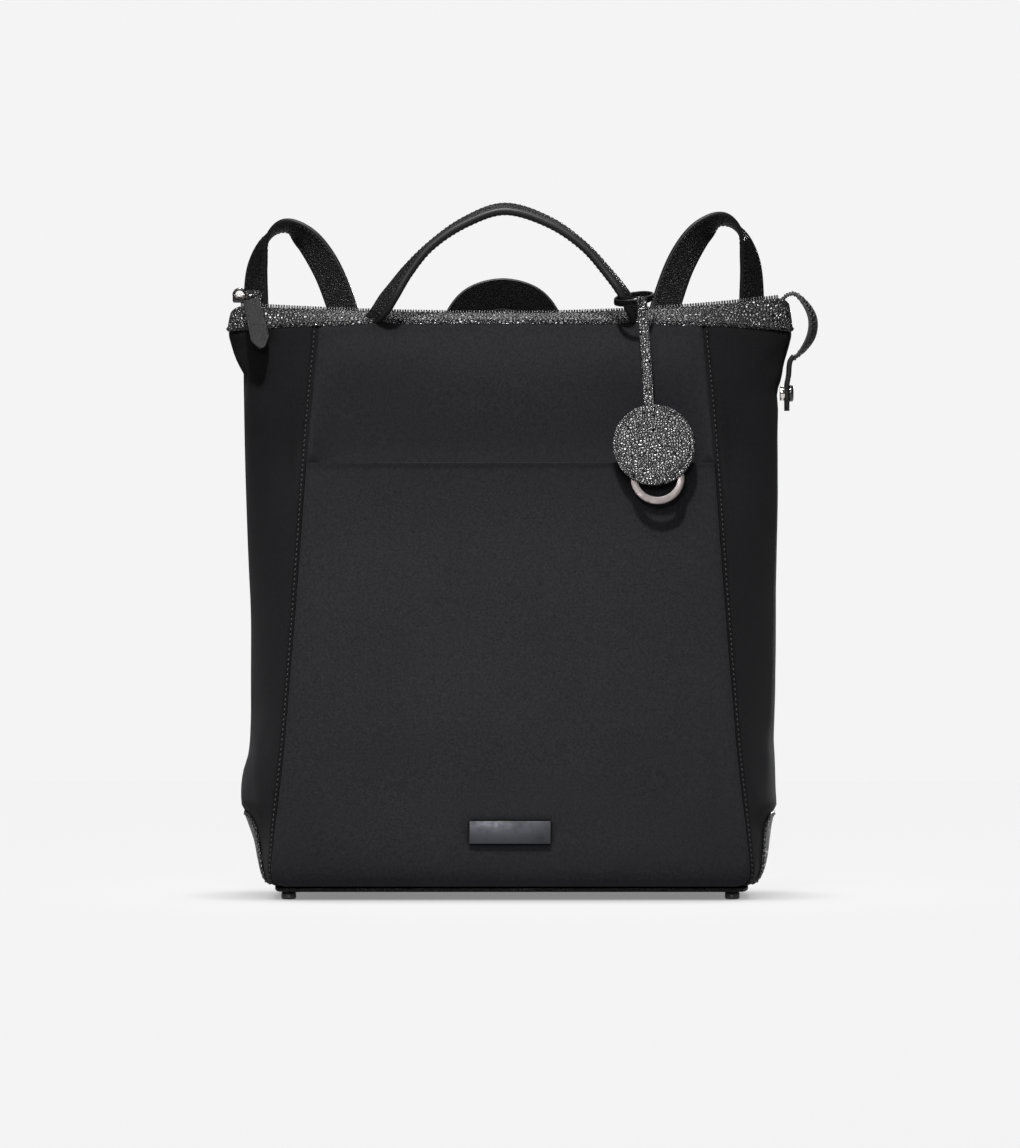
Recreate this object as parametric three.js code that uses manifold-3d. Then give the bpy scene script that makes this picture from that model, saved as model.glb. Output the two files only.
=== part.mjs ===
// Neoprene backpack with leather trim, standing on four feet.
// Millimetres, +Z up. The front of the bag faces -Y and its right side, seen from the front, is +X.
import * as THREE from "three";
import { mergeVertices } from "three/addons/utils/BufferGeometryUtils.js";
import Module from "manifold-3d";

// Driving dimensions of the bag's body.
const halfWidth = 165; // centre to side, at mid height
const baseDepth = 126; // front to back, low on the bag
const seamHeight = 357; // the seam between neoprene and top band, at the middle
const seamDrop = 4.5; // how much lower that seam lies at the two ends
const zipStep = 6.6; // the leather's edge along the zip above that seam, at the middle
const zipRiseLeft = 5.5; // how much higher that edge lies at the left end
const zipRiseRight = 11; // and at the right end
const zipSlotHalf = 4.8; // centre to leather edge, across the zip
const zipSlotFlare = 1.4; // how much wider the slot is at its ends, each side
const earDip = 6; // how far the band's ends dip under the zip
const frontSwell = 3.5; // the front and back swell outwards in the middle
const roofSwell = 1.6;

// Walls and clearances.
const neoprene = 3;
const leather = 1.8;
const gap = 0.3;

// The base, its feet and its corner patches.
const footHeight = 4.9;
const footRadius = 4.6;
const footX = 137;
const footY = 44;
const basePanel = 2.6;
const cornerPatchHeight = 54;

// The slip pocket on the front.
const pocketHeight = 270; // its open top edge
const pocketWall = 2.2;
const pocketSlot = 8; // how far the open edge stands off the front panel

// The nameplate.
const plateWidth = 51.2;
const plateHeight = 15;
const plateThickness = 2;
const plateX = -0.3;
const plateZ = 42.4;

// Straps and handles, all flat leather.
const handleWidth = 18;
const handleThickness = 5;
const handleRise = 68; // from the seam to the middle of the strap at the top
const handleSpan = 157; // between the feet
const handleShift = -1.5; // the handle sits a little to the left
const grabWidth = 20;
const grabThickness = 3.4;
const grabSpan = 62;
const grabRise = 17;
const strapWidth = 19;
const strapThickness = 3.2;
const strapRise = 64; // middle of the shoulder strap at its highest, above the body's seam
const strapTop = seamHeight + strapRise;
const strapOut = 158; // centre of the bag to the hanging leg

// The zip.
const tapeHalf = zipSlotHalf - 0.5;
const tapeThickness = 0.9;
const chainHalf = 2.8;
const chainThickness = 3.4;
const tapeDepth = 3; // the tape's upper face below the leather's edge
const sliderLength = 11;
const sliderWidth = 8.6;
const sliderThickness = 4.4;
const bailRadius = 3.6;
const bailWire = 0.9;
const tailReach = 18; // how far the tail stands off the bag's right end
const tailHalf = tapeHalf - 1.3;
const tailThickness = 2.6;
const tabThickness = 2;
const snapRadius = 5.2;
const snapDrop = 43; // the snap's middle below the body's seam
const snapZ = seamHeight - snapDrop;

// The slider's leather pull.
const pullWidth = 11;
const pullLength = 30;
const pullThickness = 2.2;
const keeperWidth = 10.5;
const keeperHeight = 6.8;
const keeperDepth = 7.5;

// The fob on the handle's right foot.
const fobRadius = 25.4;
const fobLeather = 1.7;
const fobStrapWidth = 8;
const fobStrapThickness = 1.5;
const fobLoopHeight = 6;
const fobLoopStep = 15; // the middle of the loop above the body's seam
const fobStrapTuck = 8; // how far the strap reaches in between the discs
const fobX = 88.4;
const fobDrop = 76.5; // the discs' middle below the body's seam
const fobZ = seamHeight - fobDrop;
const ringRadius = 17.7;
const ringBand = 4.6;
const ringThickness = 1.4;
const ringShiftX = 3.6;
const ringShiftZ = -18.6;

const colours = {
  neoprene: { color: 0x26262a, roughness: 0.85, metalness: 0 },
  leather: { color: 0x2b2b2c, roughness: 0.5, metalness: 0 },
  zip: { color: 0x1c1c1e, roughness: 0.7, metalness: 0 },
  metal: { color: 0xb8b4b0, roughness: 0.25, metalness: 1 },
  plate: { color: 0x46484c, roughness: 0.4, metalness: 1 },
  plastic: { color: 0x141414, roughness: 0.5, metalness: 0 },
};

// Horizontal sections of the body, from the base up to the band's seam.
// height: share of seamHeight. left, right: side to centre, share of halfWidth. seam: front seam to
// centre, share of halfWidth. depth: share of baseDepth. round: how square the side is in plan.
const sections = [
  { height: 0.023, left: 0.911, right: 0.92, seam: 0.86, depth: 0.9, round: 0.34 },
  { height: 0.03, left: 0.929, right: 0.938, seam: 0.882, depth: 0.945, round: 0.36 },
  { height: 0.043, left: 0.944, right: 0.956, seam: 0.893, depth: 0.98, round: 0.38 },
  { height: 0.068, left: 0.957, right: 0.971, seam: 0.891, depth: 1, round: 0.4 },
  { height: 0.1, left: 0.971, right: 0.981, seam: 0.884, depth: 1, round: 0.42 },
  { height: 0.13, left: 0.994, right: 0.99, seam: 0.877, depth: 0.99, round: 0.44 },
  { height: 0.157, left: 1.015, right: 1.006, seam: 0.87, depth: 0.98, round: 0.46 },
  { height: 0.19, left: 1.02, right: 1.004, seam: 0.862, depth: 0.965, round: 0.48 },
  { height: 0.222, left: 1.012, right: 1.002, seam: 0.854, depth: 0.95, round: 0.5 },
  { height: 0.25, left: 0.994, right: 1, seam: 0.848, depth: 0.935, round: 0.5 },
  { height: 0.28, left: 0.986, right: 0.997, seam: 0.842, depth: 0.92, round: 0.5 },
  { height: 0.345, left: 0.982, right: 1.001, seam: 0.831, depth: 0.88, round: 0.52 },
  { height: 0.48, left: 0.983, right: 1.005, seam: 0.809, depth: 0.795, round: 0.54 },
  { height: 0.6, left: 0.992, right: 1.008, seam: 0.791, depth: 0.71, round: 0.57 },
  { height: 0.7, left: 1, right: 1.012, seam: 0.777, depth: 0.635, round: 0.6 },
  { height: 0.81, left: 1.004, right: 1.013, seam: 0.761, depth: 0.545, round: 0.64 },
  { height: 0.862, left: 1.008, right: 1.014, seam: 0.752, depth: 0.5, round: 0.68 },
  { height: 0.89, left: 1.004, right: 1.01, seam: 0.747, depth: 0.478, round: 0.7 },
  { height: 0.916, left: 1.004, right: 1.026, seam: 0.742, depth: 0.455, round: 0.72 },
  { height: 0.941, left: 1.028, right: 1.035, seam: 0.737, depth: 0.432, round: 0.75 },
  { height: 0.966, left: 1.052, right: 1.052, seam: 0.732, depth: 0.41, round: 0.78 },
  { height: 1, left: 1.07, right: 1.067, seam: 0.727, depth: 0.382, round: 0.8 },
];
const roofShares = [0.3, 0.65, 1]; // rows of the leather band, from its seam to the zip
const frontColumns = 8;
const sideColumns = 10;

const lerp = THREE.MathUtils.lerp;
const clamp = THREE.MathUtils.clamp;
const vec = (x, y, z) => new THREE.Vector3(x, y, z);

// The row of the section table at a share of the height, interpolated.
function sectionAt(height) {
  const h = clamp(height, sections[0].height, 1);
  let i = 0;
  while (i < sections.length - 2 && sections[i + 1].height < h) i += 1;
  const low = sections[i];
  const high = sections[i + 1];
  const t = (h - low.height) / (high.height - low.height);
  const row = {};
  for (const key of Object.keys(low)) row[key] = lerp(low[key], high[key], t);
  return row;
}

// A row's outline in plan, anticlockwise from the left front seam.
function outline(row) {
  const points = [];
  const seam = row.seam * halfWidth;
  const y = (row.depth * baseDepth) / 2;
  const swell = frontSwell * Math.sin(Math.PI * clamp(row.height, 0, 1));
  const face = (side) => {
    for (let i = 0; i < frontColumns; i += 1) {
      const across = -1 + (2 * i) / frontColumns;
      const out = y + swell * (1 - across * across);
      points.push(vec(-side * across * seam, side * out, row.height));
    }
  };
  const recess = row.height * seamHeight < cornerPatchHeight ? gap + leather : 0; // under the patch
  const flank = (side, reach) => {
    for (let i = 0; i < sideColumns; i += 1) {
      const t = (1 - Math.cos((Math.PI * i) / sideColumns)) / 2;
      const bow = Math.pow(4 * t * (1 - t), row.round);
      const x = lerp(seam, reach * halfWidth - recess, bow);
      points.push(vec(side * x, side * lerp(-y, y, t), row.height));
    }
  };
  face(-1);
  flank(1, row.right);
  face(1);
  flank(-1, row.left);
  return points;
}

const columns = 2 * (frontColumns + sideColumns);
const column = {
  frontLeft: 0,
  frontRight: frontColumns,
  rightMiddle: frontColumns + sideColumns / 2,
  backRight: frontColumns + sideColumns,
  backLeft: 2 * frontColumns + sideColumns,
  leftMiddle: 2 * frontColumns + sideColumns + sideColumns / 2,
};

const endShare = (x) => Math.abs(x) / (halfWidth * sections[sections.length - 1].left);
const seamZ = (x) => seamHeight - seamDrop * Math.pow(endShare(x), 3);
function zipZ(x) {
  const rise = x < 0 ? zipRiseLeft : zipRiseRight;
  return seamHeight + zipStep + rise * Math.pow(endShare(x), 2);
}

// The whole outer surface as a grid: the body's rows, then the rows of the top band.
const grid = sections.map((row) =>
  outline(row).map((p) => vec(p.x, p.y, p.z * seamZ(p.x))),
);
const seamRow = grid.length - 1;
for (const share of roofShares) {
  grid.push(
    grid[seamRow].map((p, c) => {
      const atEnd = c === column.rightMiddle || c === column.leftMiddle;
      const inset = halfWidth * 0.015;
      const x = Math.sign(p.x) * Math.max(0, Math.abs(p.x) - (Math.abs(p.x) / halfWidth) * inset);
      const slot = zipSlotHalf + zipSlotFlare * Math.pow(endShare(p.x), 4);
      const y = atEnd ? 0 : Math.sign(p.y) * Math.min(slot, Math.abs(p.y) * 0.8);
      const edge = vec(x, y, zipZ(x) - (atEnd ? earDip : 0));
      const q = p.clone().lerp(edge, share);
      q.z += roofSwell * Math.sin(Math.PI * share);
      return q;
    }),
  );
}
const zipRow = grid.length - 1;

// Outward normal at each grid point, with the factor that keeps a wall's thickness at a corner.
function gridNormals(points) {
  const faceNormal = (r, c) => {
    const a = points[r][c];
    const b = points[r][(c + 1) % columns];
    const d = points[r + 1][(c + 1) % columns];
    const e = points[r + 1][c];
    return d.clone().sub(a).cross(e.clone().sub(b)).normalize();
  };
  return points.map((row, r) =>
    row.map((p, c) => {
      const faces = [];
      for (const rr of [r - 1, r]) {
        if (rr < 0 || rr >= points.length - 1) continue;
        for (const cc of [c - 1, c]) faces.push(faceNormal(rr, (cc + columns) % columns));
      }
      const n = faces.reduce((sum, f) => sum.add(f), vec(0, 0, 0)).normalize();
      const facing = faces.reduce((sum, f) => sum + f.dot(n), 0) / faces.length;
      return { n, stretch: 1 / clamp(facing, 0.7, 1) };
    }),
  );
}
const normals = gridNormals(grid);

// A mesh from points and triangles.
function meshOf(name, finish, geometry) {
  const mesh = new THREE.Mesh(geometry, new THREE.MeshStandardMaterial(colours[finish]));
  mesh.name = name;
  return mesh;
}

function geometryOf(points, triangles) {
  const geometry = new THREE.BufferGeometry();
  const flat = points.flatMap((p) => [p.x, p.y, p.z]);
  geometry.setAttribute("position", new THREE.Float32BufferAttribute(flat, 3));
  geometry.setIndex(triangles);
  geometry.computeVertexNormals();
  return geometry;
}

// A closed wall between two grids of points of the same size; outer faces outwards.
function wallBetween(outer, inner) {
  const rows = outer.length;
  const width = outer[0].length;
  const points = [...outer.flat(), ...inner.flat()];
  const out = (r, c) => r * width + c;
  const back = (r, c) => rows * width + r * width + c;
  const triangles = [];
  const quad = (a, b, d, e) => triangles.push(a, b, d, a, d, e);
  for (let r = 0; r < rows - 1; r += 1) {
    for (let c = 0; c < width - 1; c += 1) {
      quad(out(r, c), out(r, c + 1), out(r + 1, c + 1), out(r + 1, c));
      quad(back(r, c), back(r + 1, c), back(r + 1, c + 1), back(r, c + 1));
    }
    quad(out(r, 0), out(r + 1, 0), back(r + 1, 0), back(r, 0));
    const last = width - 1;
    quad(out(r, last), back(r, last), back(r + 1, last), out(r + 1, last));
  }
  for (let c = 0; c < width - 1; c += 1) {
    quad(out(0, c), back(0, c), back(0, c + 1), out(0, c + 1));
    const top = rows - 1;
    quad(out(top, c), out(top, c + 1), back(top, c + 1), back(top, c));
  }
  return geometryOf(points, triangles);
}

// Moves the edge of a patch inwards along its surface, so that neighbours keep a gap.
function trimEdges(patch) {
  const step = (from, to) => from.clone().lerp(to, gap / 2 / from.distanceTo(to));
  const trimRow = (row) => {
    const last = row.length - 1;
    return row.map((p, c) => (c === 0 ? step(p, row[1]) : c === last ? step(p, row[last - 1]) : p));
  };
  const narrowed = patch.map(trimRow);
  const last = narrowed.length - 1;
  return narrowed.map((row, r) => {
    if (r !== 0 && r !== last) return row;
    return row.map((p, c) => step(p, narrowed[r === 0 ? 1 : last - 1][c]));
  });
}

// A patch of the bag's surface as a wall: the outer face lies `out` off the surface.
function patchWall({ rows, from, to, out = 0, thickness }) {
  const count = (to - from + columns) % columns;
  const layer = (offset) =>
    rows.map((r) => {
      const points = [];
      for (let i = 0; i <= count; i += 1) {
        const c = (from + i) % columns;
        const { n, stretch } = normals[r][c];
        points.push(grid[r][c].clone().addScaledVector(n, offset * stretch));
      }
      return points;
    });
  return wallBetween(trimEdges(layer(out)), trimEdges(layer(out - thickness)));
}

const rowsBetween = (first, last) => Array.from({ length: last - first + 1 }, (_, i) => first + i);

const bag = new THREE.Group();
const bodyRows = rowsBetween(0, seamRow);
const bandRows = rowsBetween(seamRow, zipRow);
const panels = [
  { name: "front_panel", from: column.frontLeft, to: column.frontRight },
  { name: "side_panel_right", from: column.frontRight, to: column.backRight },
  { name: "back_panel", from: column.backRight, to: column.backLeft },
  { name: "side_panel_left", from: column.backLeft, to: column.frontLeft },
];
for (const { name, from, to } of panels) {
  const wall = patchWall({ rows: bodyRows, from, to, thickness: neoprene });
  bag.add(meshOf(name, "neoprene", wall));
}
const bands = [
  { name: "top_band_front", from: column.leftMiddle, to: column.rightMiddle },
  { name: "top_band_back", from: column.rightMiddle, to: column.leftMiddle },
];
for (const { name, from, to } of bands) {
  const wall = patchWall({ rows: bandRows, from, to, thickness: leather });
  bag.add(meshOf(name, "leather", wall));
}

// Leather patches round the foot of each side, on the outside of the neoprene.
const patchColumns = 3; // columns between a seam and the patch
const patchTop = grid.findIndex((row) => row[column.rightMiddle].z > cornerPatchHeight);
const patchSides = [
  { name: "base_corner_right", from: column.frontRight + patchColumns, to: column.backRight - patchColumns },
  { name: "base_corner_left", from: column.backLeft + patchColumns, to: columns - patchColumns },
];
for (const { name, from, to } of patchSides) {
  const rows = rowsBetween(0, patchTop);
  const wall = patchWall({ rows, from, to, out: gap + leather, thickness: leather });
  bag.add(meshOf(name, "leather", wall));
}

// The body's outer face at a place: its front at x and z, or its side at z.
function frontY(x, z) {
  const row = sectionAt(z / seamZ(x));
  const across = clamp(x / (row.seam * halfWidth), -1, 1);
  const swell = frontSwell * Math.sin(Math.PI * row.height);
  return -(row.depth * baseDepth) / 2 - swell * (1 - across * across);
}
const rightSideX = (z) => sectionAt(z / seamZ(halfWidth)).right * halfWidth;

// The pocket's front lies over the front panel and stands off it along its open top edge.
function pocketLayer(off) {
  const rows = sections.filter((row) => row.height * seamHeight < pocketHeight).slice(1);
  const heights = [...rows.map((row) => row.height), pocketHeight / seamHeight];
  return heights.map((height) => {
    const row = sectionAt(height);
    const z = height * seamHeight;
    const open = pocketSlot * Math.pow(z / pocketHeight, 3);
    const points = [];
    for (let i = 0; i <= frontColumns; i += 1) {
      const across = -1 + (2 * i) / frontColumns;
      const x = across * (row.seam * halfWidth - gap / 2);
      const stand = gap + open * (1 - Math.pow(across, 4));
      points.push(vec(x, frontY(x, z) - stand - off, z));
    }
    return points;
  });
}
bag.add(meshOf("pocket_panel", "neoprene", wallBetween(pocketLayer(pocketWall), pocketLayer(0))));
const pocketFaceY = (x, z) => {
  const across = x / (sectionAt(z / seamHeight).seam * halfWidth);
  const open = pocketSlot * Math.pow(z / pocketHeight, 3) * (1 - Math.pow(across, 4));
  return frontY(x, z) - gap - open - pocketWall;
};

// The leather base closes the body from below; its edge shows under the walls.
const baseTop = grid[0][0].z - gap;
function baseOutline() {
  const shape = new THREE.Shape();
  const inset = 1 - leather / halfWidth;
  grid[0].forEach((p, i) => {
    if (i === 0) shape.moveTo(p.x * inset, p.y * inset);
    else shape.lineTo(p.x * inset, p.y * inset);
  });
  shape.closePath();
  return shape;
}
const baseBody = new THREE.ExtrudeGeometry(baseOutline(), { depth: basePanel, bevelEnabled: false });
const base = meshOf("base_panel", "leather", baseBody);
base.position.z = baseTop - basePanel;
bag.add(base);

// Four turned feet, flat below.
const footTop = baseTop - basePanel - gap;
for (const [sideName, sx] of [["left", -1], ["right", 1]]) {
  for (const [endName, sy] of [["front", -1], ["back", 1]]) {
    const profile = [
      new THREE.Vector2(0, footTop - footHeight + gap),
      new THREE.Vector2(footRadius * 0.84, footTop - footHeight + gap),
      new THREE.Vector2(footRadius, footTop - footHeight * 0.8 + gap),
      new THREE.Vector2(footRadius, footTop),
      new THREE.Vector2(0, footTop),
    ];
    const foot = meshOf(`foot_${endName}_${sideName}`, "plastic", new THREE.LatheGeometry(profile, 16));
    foot.rotation.x = Math.PI / 2;
    foot.position.set(sx * footX, sy * footY, 0);
    bag.add(foot);
  }
}

// A flat strap along a smooth path. turn: angle in degrees of its width out of the plane of the
// path's bend, from 0 (broad face to the front) to 90 (edge to the front).
function strapGeometry(rows, width, thickness, steps, widthAt = () => 1) {
  const curve = new THREE.CatmullRomCurve3(rows.map((r) => vec(r.x, r.y, r.z)), false, "centripetal");
  const outer = [];
  const inner = [];
  for (let i = 0; i <= steps; i += 1) {
    const t = i / steps;
    const place = t * (rows.length - 1);
    const k = Math.min(rows.length - 2, Math.floor(place));
    const turn = THREE.MathUtils.degToRad(lerp(rows[k].turn, rows[k + 1].turn, place - k));
    const centre = curve.getPoint(t);
    const along = curve.getTangent(t);
    const inPlane = along.clone().cross(vec(0, 1, 0)).normalize();
    const outOfPlane = inPlane.clone().cross(along).normalize();
    const across = inPlane.clone().multiplyScalar(Math.cos(turn));
    across.addScaledVector(outOfPlane, Math.sin(turn));
    const normal = across.clone().cross(along).normalize();
    const half = (width / 2) * widthAt(t);
    const edge = Math.min(thickness * 0.3, half * 0.3);
    const profile = [
      [-half + edge, thickness / 2],
      [half - edge, thickness / 2],
      [half, thickness / 2 - edge],
      [half, -thickness / 2 + edge],
    ];
    const at = ([a, b]) => centre.clone().addScaledVector(across, a).addScaledVector(normal, b);
    outer.push(profile.map(at));
    inner.push(profile.map(([a, b]) => at([-a, -b])).reverse());
  }
  return ringedGeometry(outer.map((row, i) => [...row, ...inner[i].reverse()]));
}

// A closed tube through rings of points, with flat ends.
function ringedGeometry(rings) {
  const sides = rings[0].length;
  const triangles = [];
  rings.slice(0, -1).forEach((_, r) => {
    for (let s = 0; s < sides; s += 1) {
      const a = r * sides + s;
      const b = r * sides + ((s + 1) % sides);
      triangles.push(a, b, b + sides, a, b + sides, a + sides);
    }
  });
  const end = (rings.length - 1) * sides;
  for (let s = 1; s < sides - 1; s += 1) {
    triangles.push(0, s + 1, s);
    triangles.push(end, end + s, end + s + 1);
  }
  return geometryOf(rings.flat(), triangles);
}

// Shares of the handle's half span and rise, and the strap's turn.
const handleBow = [
  { across: -1, up: 0, turn: 16 },
  { across: -0.976, up: 0.118, turn: 44 },
  { across: -0.913, up: 0.229, turn: 68 },
  { across: -0.795, up: 0.447, turn: 80 },
  { across: -0.617, up: 0.666, turn: 84 },
  { across: -0.34, up: 0.882, turn: 84 },
  { across: -0.03, up: 1, turn: 84 },
  { across: 0.324, up: 0.882, turn: 84 },
  { across: 0.6, up: 0.666, turn: 84 },
  { across: 0.777, up: 0.447, turn: 81 },
  { across: 0.88, up: 0.26, turn: 72 },
  { across: 0.95, up: 0.12, turn: 46 },
  { across: 1, up: 0, turn: 16 },
];
const bandFrontY = frontY(handleSpan / 2, seamHeight);
const handleFootY = bandFrontY - gap - handleThickness * 0.8;
const handleLean = 7;
const handlePath = handleBow.map(({ across, up, turn }) => ({
  x: handleShift + (across * handleSpan) / 2,
  y: handleFootY + handleLean * up - (1 - Math.abs(across)) * 0.5,
  z: seamHeight + 1 + up * handleRise,
  turn,
}));
const handleTaper = (t) => lerp(0.67, 1, clamp(Math.min(t, 1 - t) * 5, 0, 1));
bag.add(meshOf("top_handle", "leather",
  strapGeometry(handlePath, handleWidth, handleThickness, 40, handleTaper)));

// Shares of the grab loop's half span and rise.
const grabBow = [
  { across: -1, up: -0.55, back: 0, turn: 0 },
  { across: -0.93, up: 0.1, back: 0.3, turn: 10 },
  { across: -0.6, up: 0.75, back: 0.8, turn: 30 },
  { across: 0, up: 1, back: 1, turn: 36 },
  { across: 0.6, up: 0.75, back: 0.8, turn: 30 },
  { across: 0.93, up: 0.1, back: 0.3, turn: 10 },
  { across: 1, up: -0.55, back: 0, turn: 0 },
];
const backY = (x, z) => -frontY(x, z);
const grabFootY = backY(0, seamHeight - 0.55 * grabRise) + gap + grabThickness / 2 + 0.3;
const grabLean = 8;
const grabPath = grabBow.map(({ across, up, back, turn }) => ({
  x: handleShift + (across * grabSpan) / 2,
  y: grabFootY + back * grabLean,
  z: seamHeight + up * grabRise,
  turn,
}));
bag.add(meshOf("grab_loop", "leather", strapGeometry(grabPath, grabWidth, grabThickness, 28)));

// A shoulder strap, from its upper end on the back panel, over its top, to its lower end.
// out: share of strapOut. back: off the back panel or, above the bag, off its top edge, in shares
// of strapStand. up: share of strapTop.
const strapStand = 30;
const strapBow = [
  { out: 0.615, back: 0, up: 0.775, turn: 0 },
  { out: 0.625, back: 0, up: 0.825, turn: 0 },
  { out: 0.662, back: 0.25, up: 0.88, turn: 4 },
  { out: 0.728, back: 0.42, up: 0.941, turn: 12 },
  { out: 0.805, back: 0.6, up: 0.981, turn: 30 },
  { out: 0.885, back: 0.8, up: 0.998, turn: 62 },
  { out: 0.957, back: 1.0, up: 0.982, turn: 105 },
  { out: 0.995, back: 1.12, up: 0.942, turn: 138 },
  { out: 1.003, back: 1.16, up: 0.885, turn: 146 },
  { out: 1.0, back: 1.15, up: 0.78, turn: 152 },
  { out: 0.99, back: 1.1, up: 0.6, turn: 160 },
  { out: 0.965, back: 0.85, up: 0.4, turn: 170 },
  { out: 0.92, back: 0.42, up: 0.22, turn: 178 },
  { out: 0.86, back: 0, up: 0.125, turn: 180 },
  { out: 0.835, back: 0, up: 0.07, turn: 180 },
];
for (const [sideName, side] of [["left", -1], ["right", 1]]) {
  const path = strapBow.map(({ out, back, up, turn }) => {
    const z = up * strapTop;
    const wall = backY(Math.min(out * strapOut, 0.7 * halfWidth), Math.min(z, seamHeight));
    return {
      x: side * out * strapOut,
      y: wall + gap + strapThickness / 2 + 0.9 + back * strapStand,
      z,
      turn: side * -turn,
    };
  });
  bag.add(meshOf(`shoulder_strap_${sideName}`, "leather",
    strapGeometry(path, strapWidth, strapThickness, 64)));
}

// The zip lies in the slot between the two bands.
const zipEndRight = grid[zipRow][column.rightMiddle - 1].x - 1;
const zipEndLeft = grid[zipRow][column.leftMiddle + 1].x + 1;
function zipRibbon(half, lower, upper) {
  const rings = [];
  const steps = 24;
  for (let i = 0; i <= steps; i += 1) {
    const x = lerp(zipEndLeft, zipEndRight, i / steps);
    const z = zipZ(x);
    rings.push([vec(x, -half, z + lower), vec(x, half, z + lower),
      vec(x, half, z + upper), vec(x, -half, z + upper)]);
  }
  return ringedGeometry(rings);
}
const chainBottom = gap - tapeDepth;
const chainTop = chainBottom + chainThickness;
bag.add(meshOf("zip_tape", "zip", zipRibbon(tapeHalf, -tapeDepth - tapeThickness, -tapeDepth)));
bag.add(meshOf("zip_chain", "metal", zipRibbon(chainHalf, chainBottom, chainTop)));

// The zip's free end rises over the right end of the band, bends down and ends at its leather tab.
const tailStartZ = zipZ(zipEndRight) + (chainTop - tapeDepth - tapeThickness) / 2;
const tailCrest = zipZ(zipEndRight) + tailThickness / 2 + gap + 1.2;
const tailDrop = tailCrest - snapZ;
const tailBow = [
  { out: 0.16, down: 0.03, turn: 90 },
  { out: 0.42, down: 0, turn: 90 },
  { out: 0.76, down: 0.1, turn: 84 },
  { out: 0.98, down: 0.25, turn: 78 },
  { out: 0.95, down: 0.41, turn: 76 },
  { out: 0.72, down: 0.55, turn: 80 },
  { out: 0.4, down: 0.66, turn: 90 },
];
const tailPath = [
  { x: zipEndRight + gap, y: 0, z: tailStartZ, turn: 90 },
  { x: zipEndRight + gap + 1.2, y: 0, z: tailStartZ + 0.2, turn: 90 },
  ...tailBow.map(({ out, down, turn }) => ({
    x: zipEndRight + out * tailReach,
    y: 0,
    z: tailCrest - down * tailDrop,
    turn,
  })),
];
bag.add(meshOf("zip_tail", "zip", strapGeometry(tailPath, 2 * tailHalf, tailThickness, 26)));

// The snap: its stud on the bag's side, the leather tab and the cap outside it.
const studThickness = 3;
const capThickness = 2.4;
const studX = Math.max(rightSideX(snapZ - snapRadius), rightSideX(snapZ + snapRadius)) + gap;
const tabX = studX + studThickness + gap + tabThickness / 2;
const tailFoot = tailPath[tailPath.length - 1];
const tabPath = [
  { x: tailFoot.x - 1.9, y: 0, z: tailFoot.z - 1.2, turn: 90 },
  { x: lerp(tailFoot.x, tabX, 0.75), y: 0, z: lerp(tailFoot.z, snapZ, 0.5), turn: 90 },
  { x: tabX, y: 0, z: snapZ + snapRadius, turn: 90 },
  { x: tabX, y: 0, z: snapZ - snapRadius, turn: 90 },
  { x: tabX, y: 0, z: snapZ - 2.1 * snapRadius, turn: 90 },
];
const tabTaper = (t) => lerp(1, 0.45, clamp((t - 0.9) * 10, 0, 1));
bag.add(meshOf("tail_tab", "leather",
  strapGeometry(tabPath, 2 * tailHalf + 4, tabThickness, 16, tabTaper)));
function disc(name, finish, radius, thickness, x) {
  const mesh = meshOf(name, finish, new THREE.CylinderGeometry(radius, radius, thickness, 20));
  mesh.rotation.z = Math.PI / 2;
  mesh.position.set(x + thickness / 2, 0, snapZ);
  return mesh;
}
bag.add(disc("tail_stud", "metal", snapRadius * 0.9, studThickness, studX));
bag.add(disc("tail_cap", "metal", snapRadius, capThickness, tabX + tabThickness / 2 + gap));

// Solids for the few pieces that are joined from simpler shapes.
const wasm = await Module();
wasm.setup();
function solidOf(mesh) {
  mesh.updateMatrixWorld(true);
  const shape = mesh.geometry.clone().applyMatrix4(mesh.matrixWorld);
  shape.deleteAttribute("normal");
  shape.deleteAttribute("uv");
  const merged = mergeVertices(shape, 1e-4);
  return new wasm.Manifold(new wasm.Mesh({
    numProp: 3,
    vertProperties: new Float32Array(merged.attributes.position.array),
    triVerts: new Uint32Array(merged.index.array),
  }));
}
function joined(name, finish, meshes) {
  const solid = meshes.map(solidOf).reduce((sum, next) => sum.add(next));
  const { vertProperties, triVerts, numProp } = solid.getMesh();
  const points = [];
  for (let i = 0; i < vertProperties.length; i += numProp) {
    points.push(vec(vertProperties[i], vertProperties[i + 1], vertProperties[i + 2]));
  }
  return meshOf(name, finish, geometryOf(points, Array.from(triVerts)));
}

// The slider with its bail, on the chain's left end.
const sliderX = zipEndLeft + sliderLength * 0.2;
const sliderBottom = zipZ(zipEndLeft) + chainTop + gap;
const sliderBody = meshOf("body", "metal", new THREE.BoxGeometry(sliderLength, sliderWidth, sliderThickness));
sliderBody.position.set(sliderX, 0, sliderBottom + sliderThickness / 2);
const bail = meshOf("bail", "metal", new THREE.TorusGeometry(bailRadius, bailWire, 6, 20));
bail.rotation.x = Math.PI / 2;
bail.position.set(sliderX, 0, sliderBottom + sliderThickness);
bag.add(joined("zip_slider", "metal", [sliderBody, bail]));

// The leather pull: a folded keeper beside the bail, and the tab hanging in front of the band.
const keeperX = sliderX + sliderLength / 2 + gap + keeperWidth / 2;
const keeperZ = sliderBottom + gap + keeperHeight / 2;
const keeper = meshOf("pull_keeper", "leather",
  new THREE.BoxGeometry(keeperWidth, keeperDepth, keeperHeight));
keeper.position.set(keeperX, -keeperDepth / 4, keeperZ);
bag.add(keeper);

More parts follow.
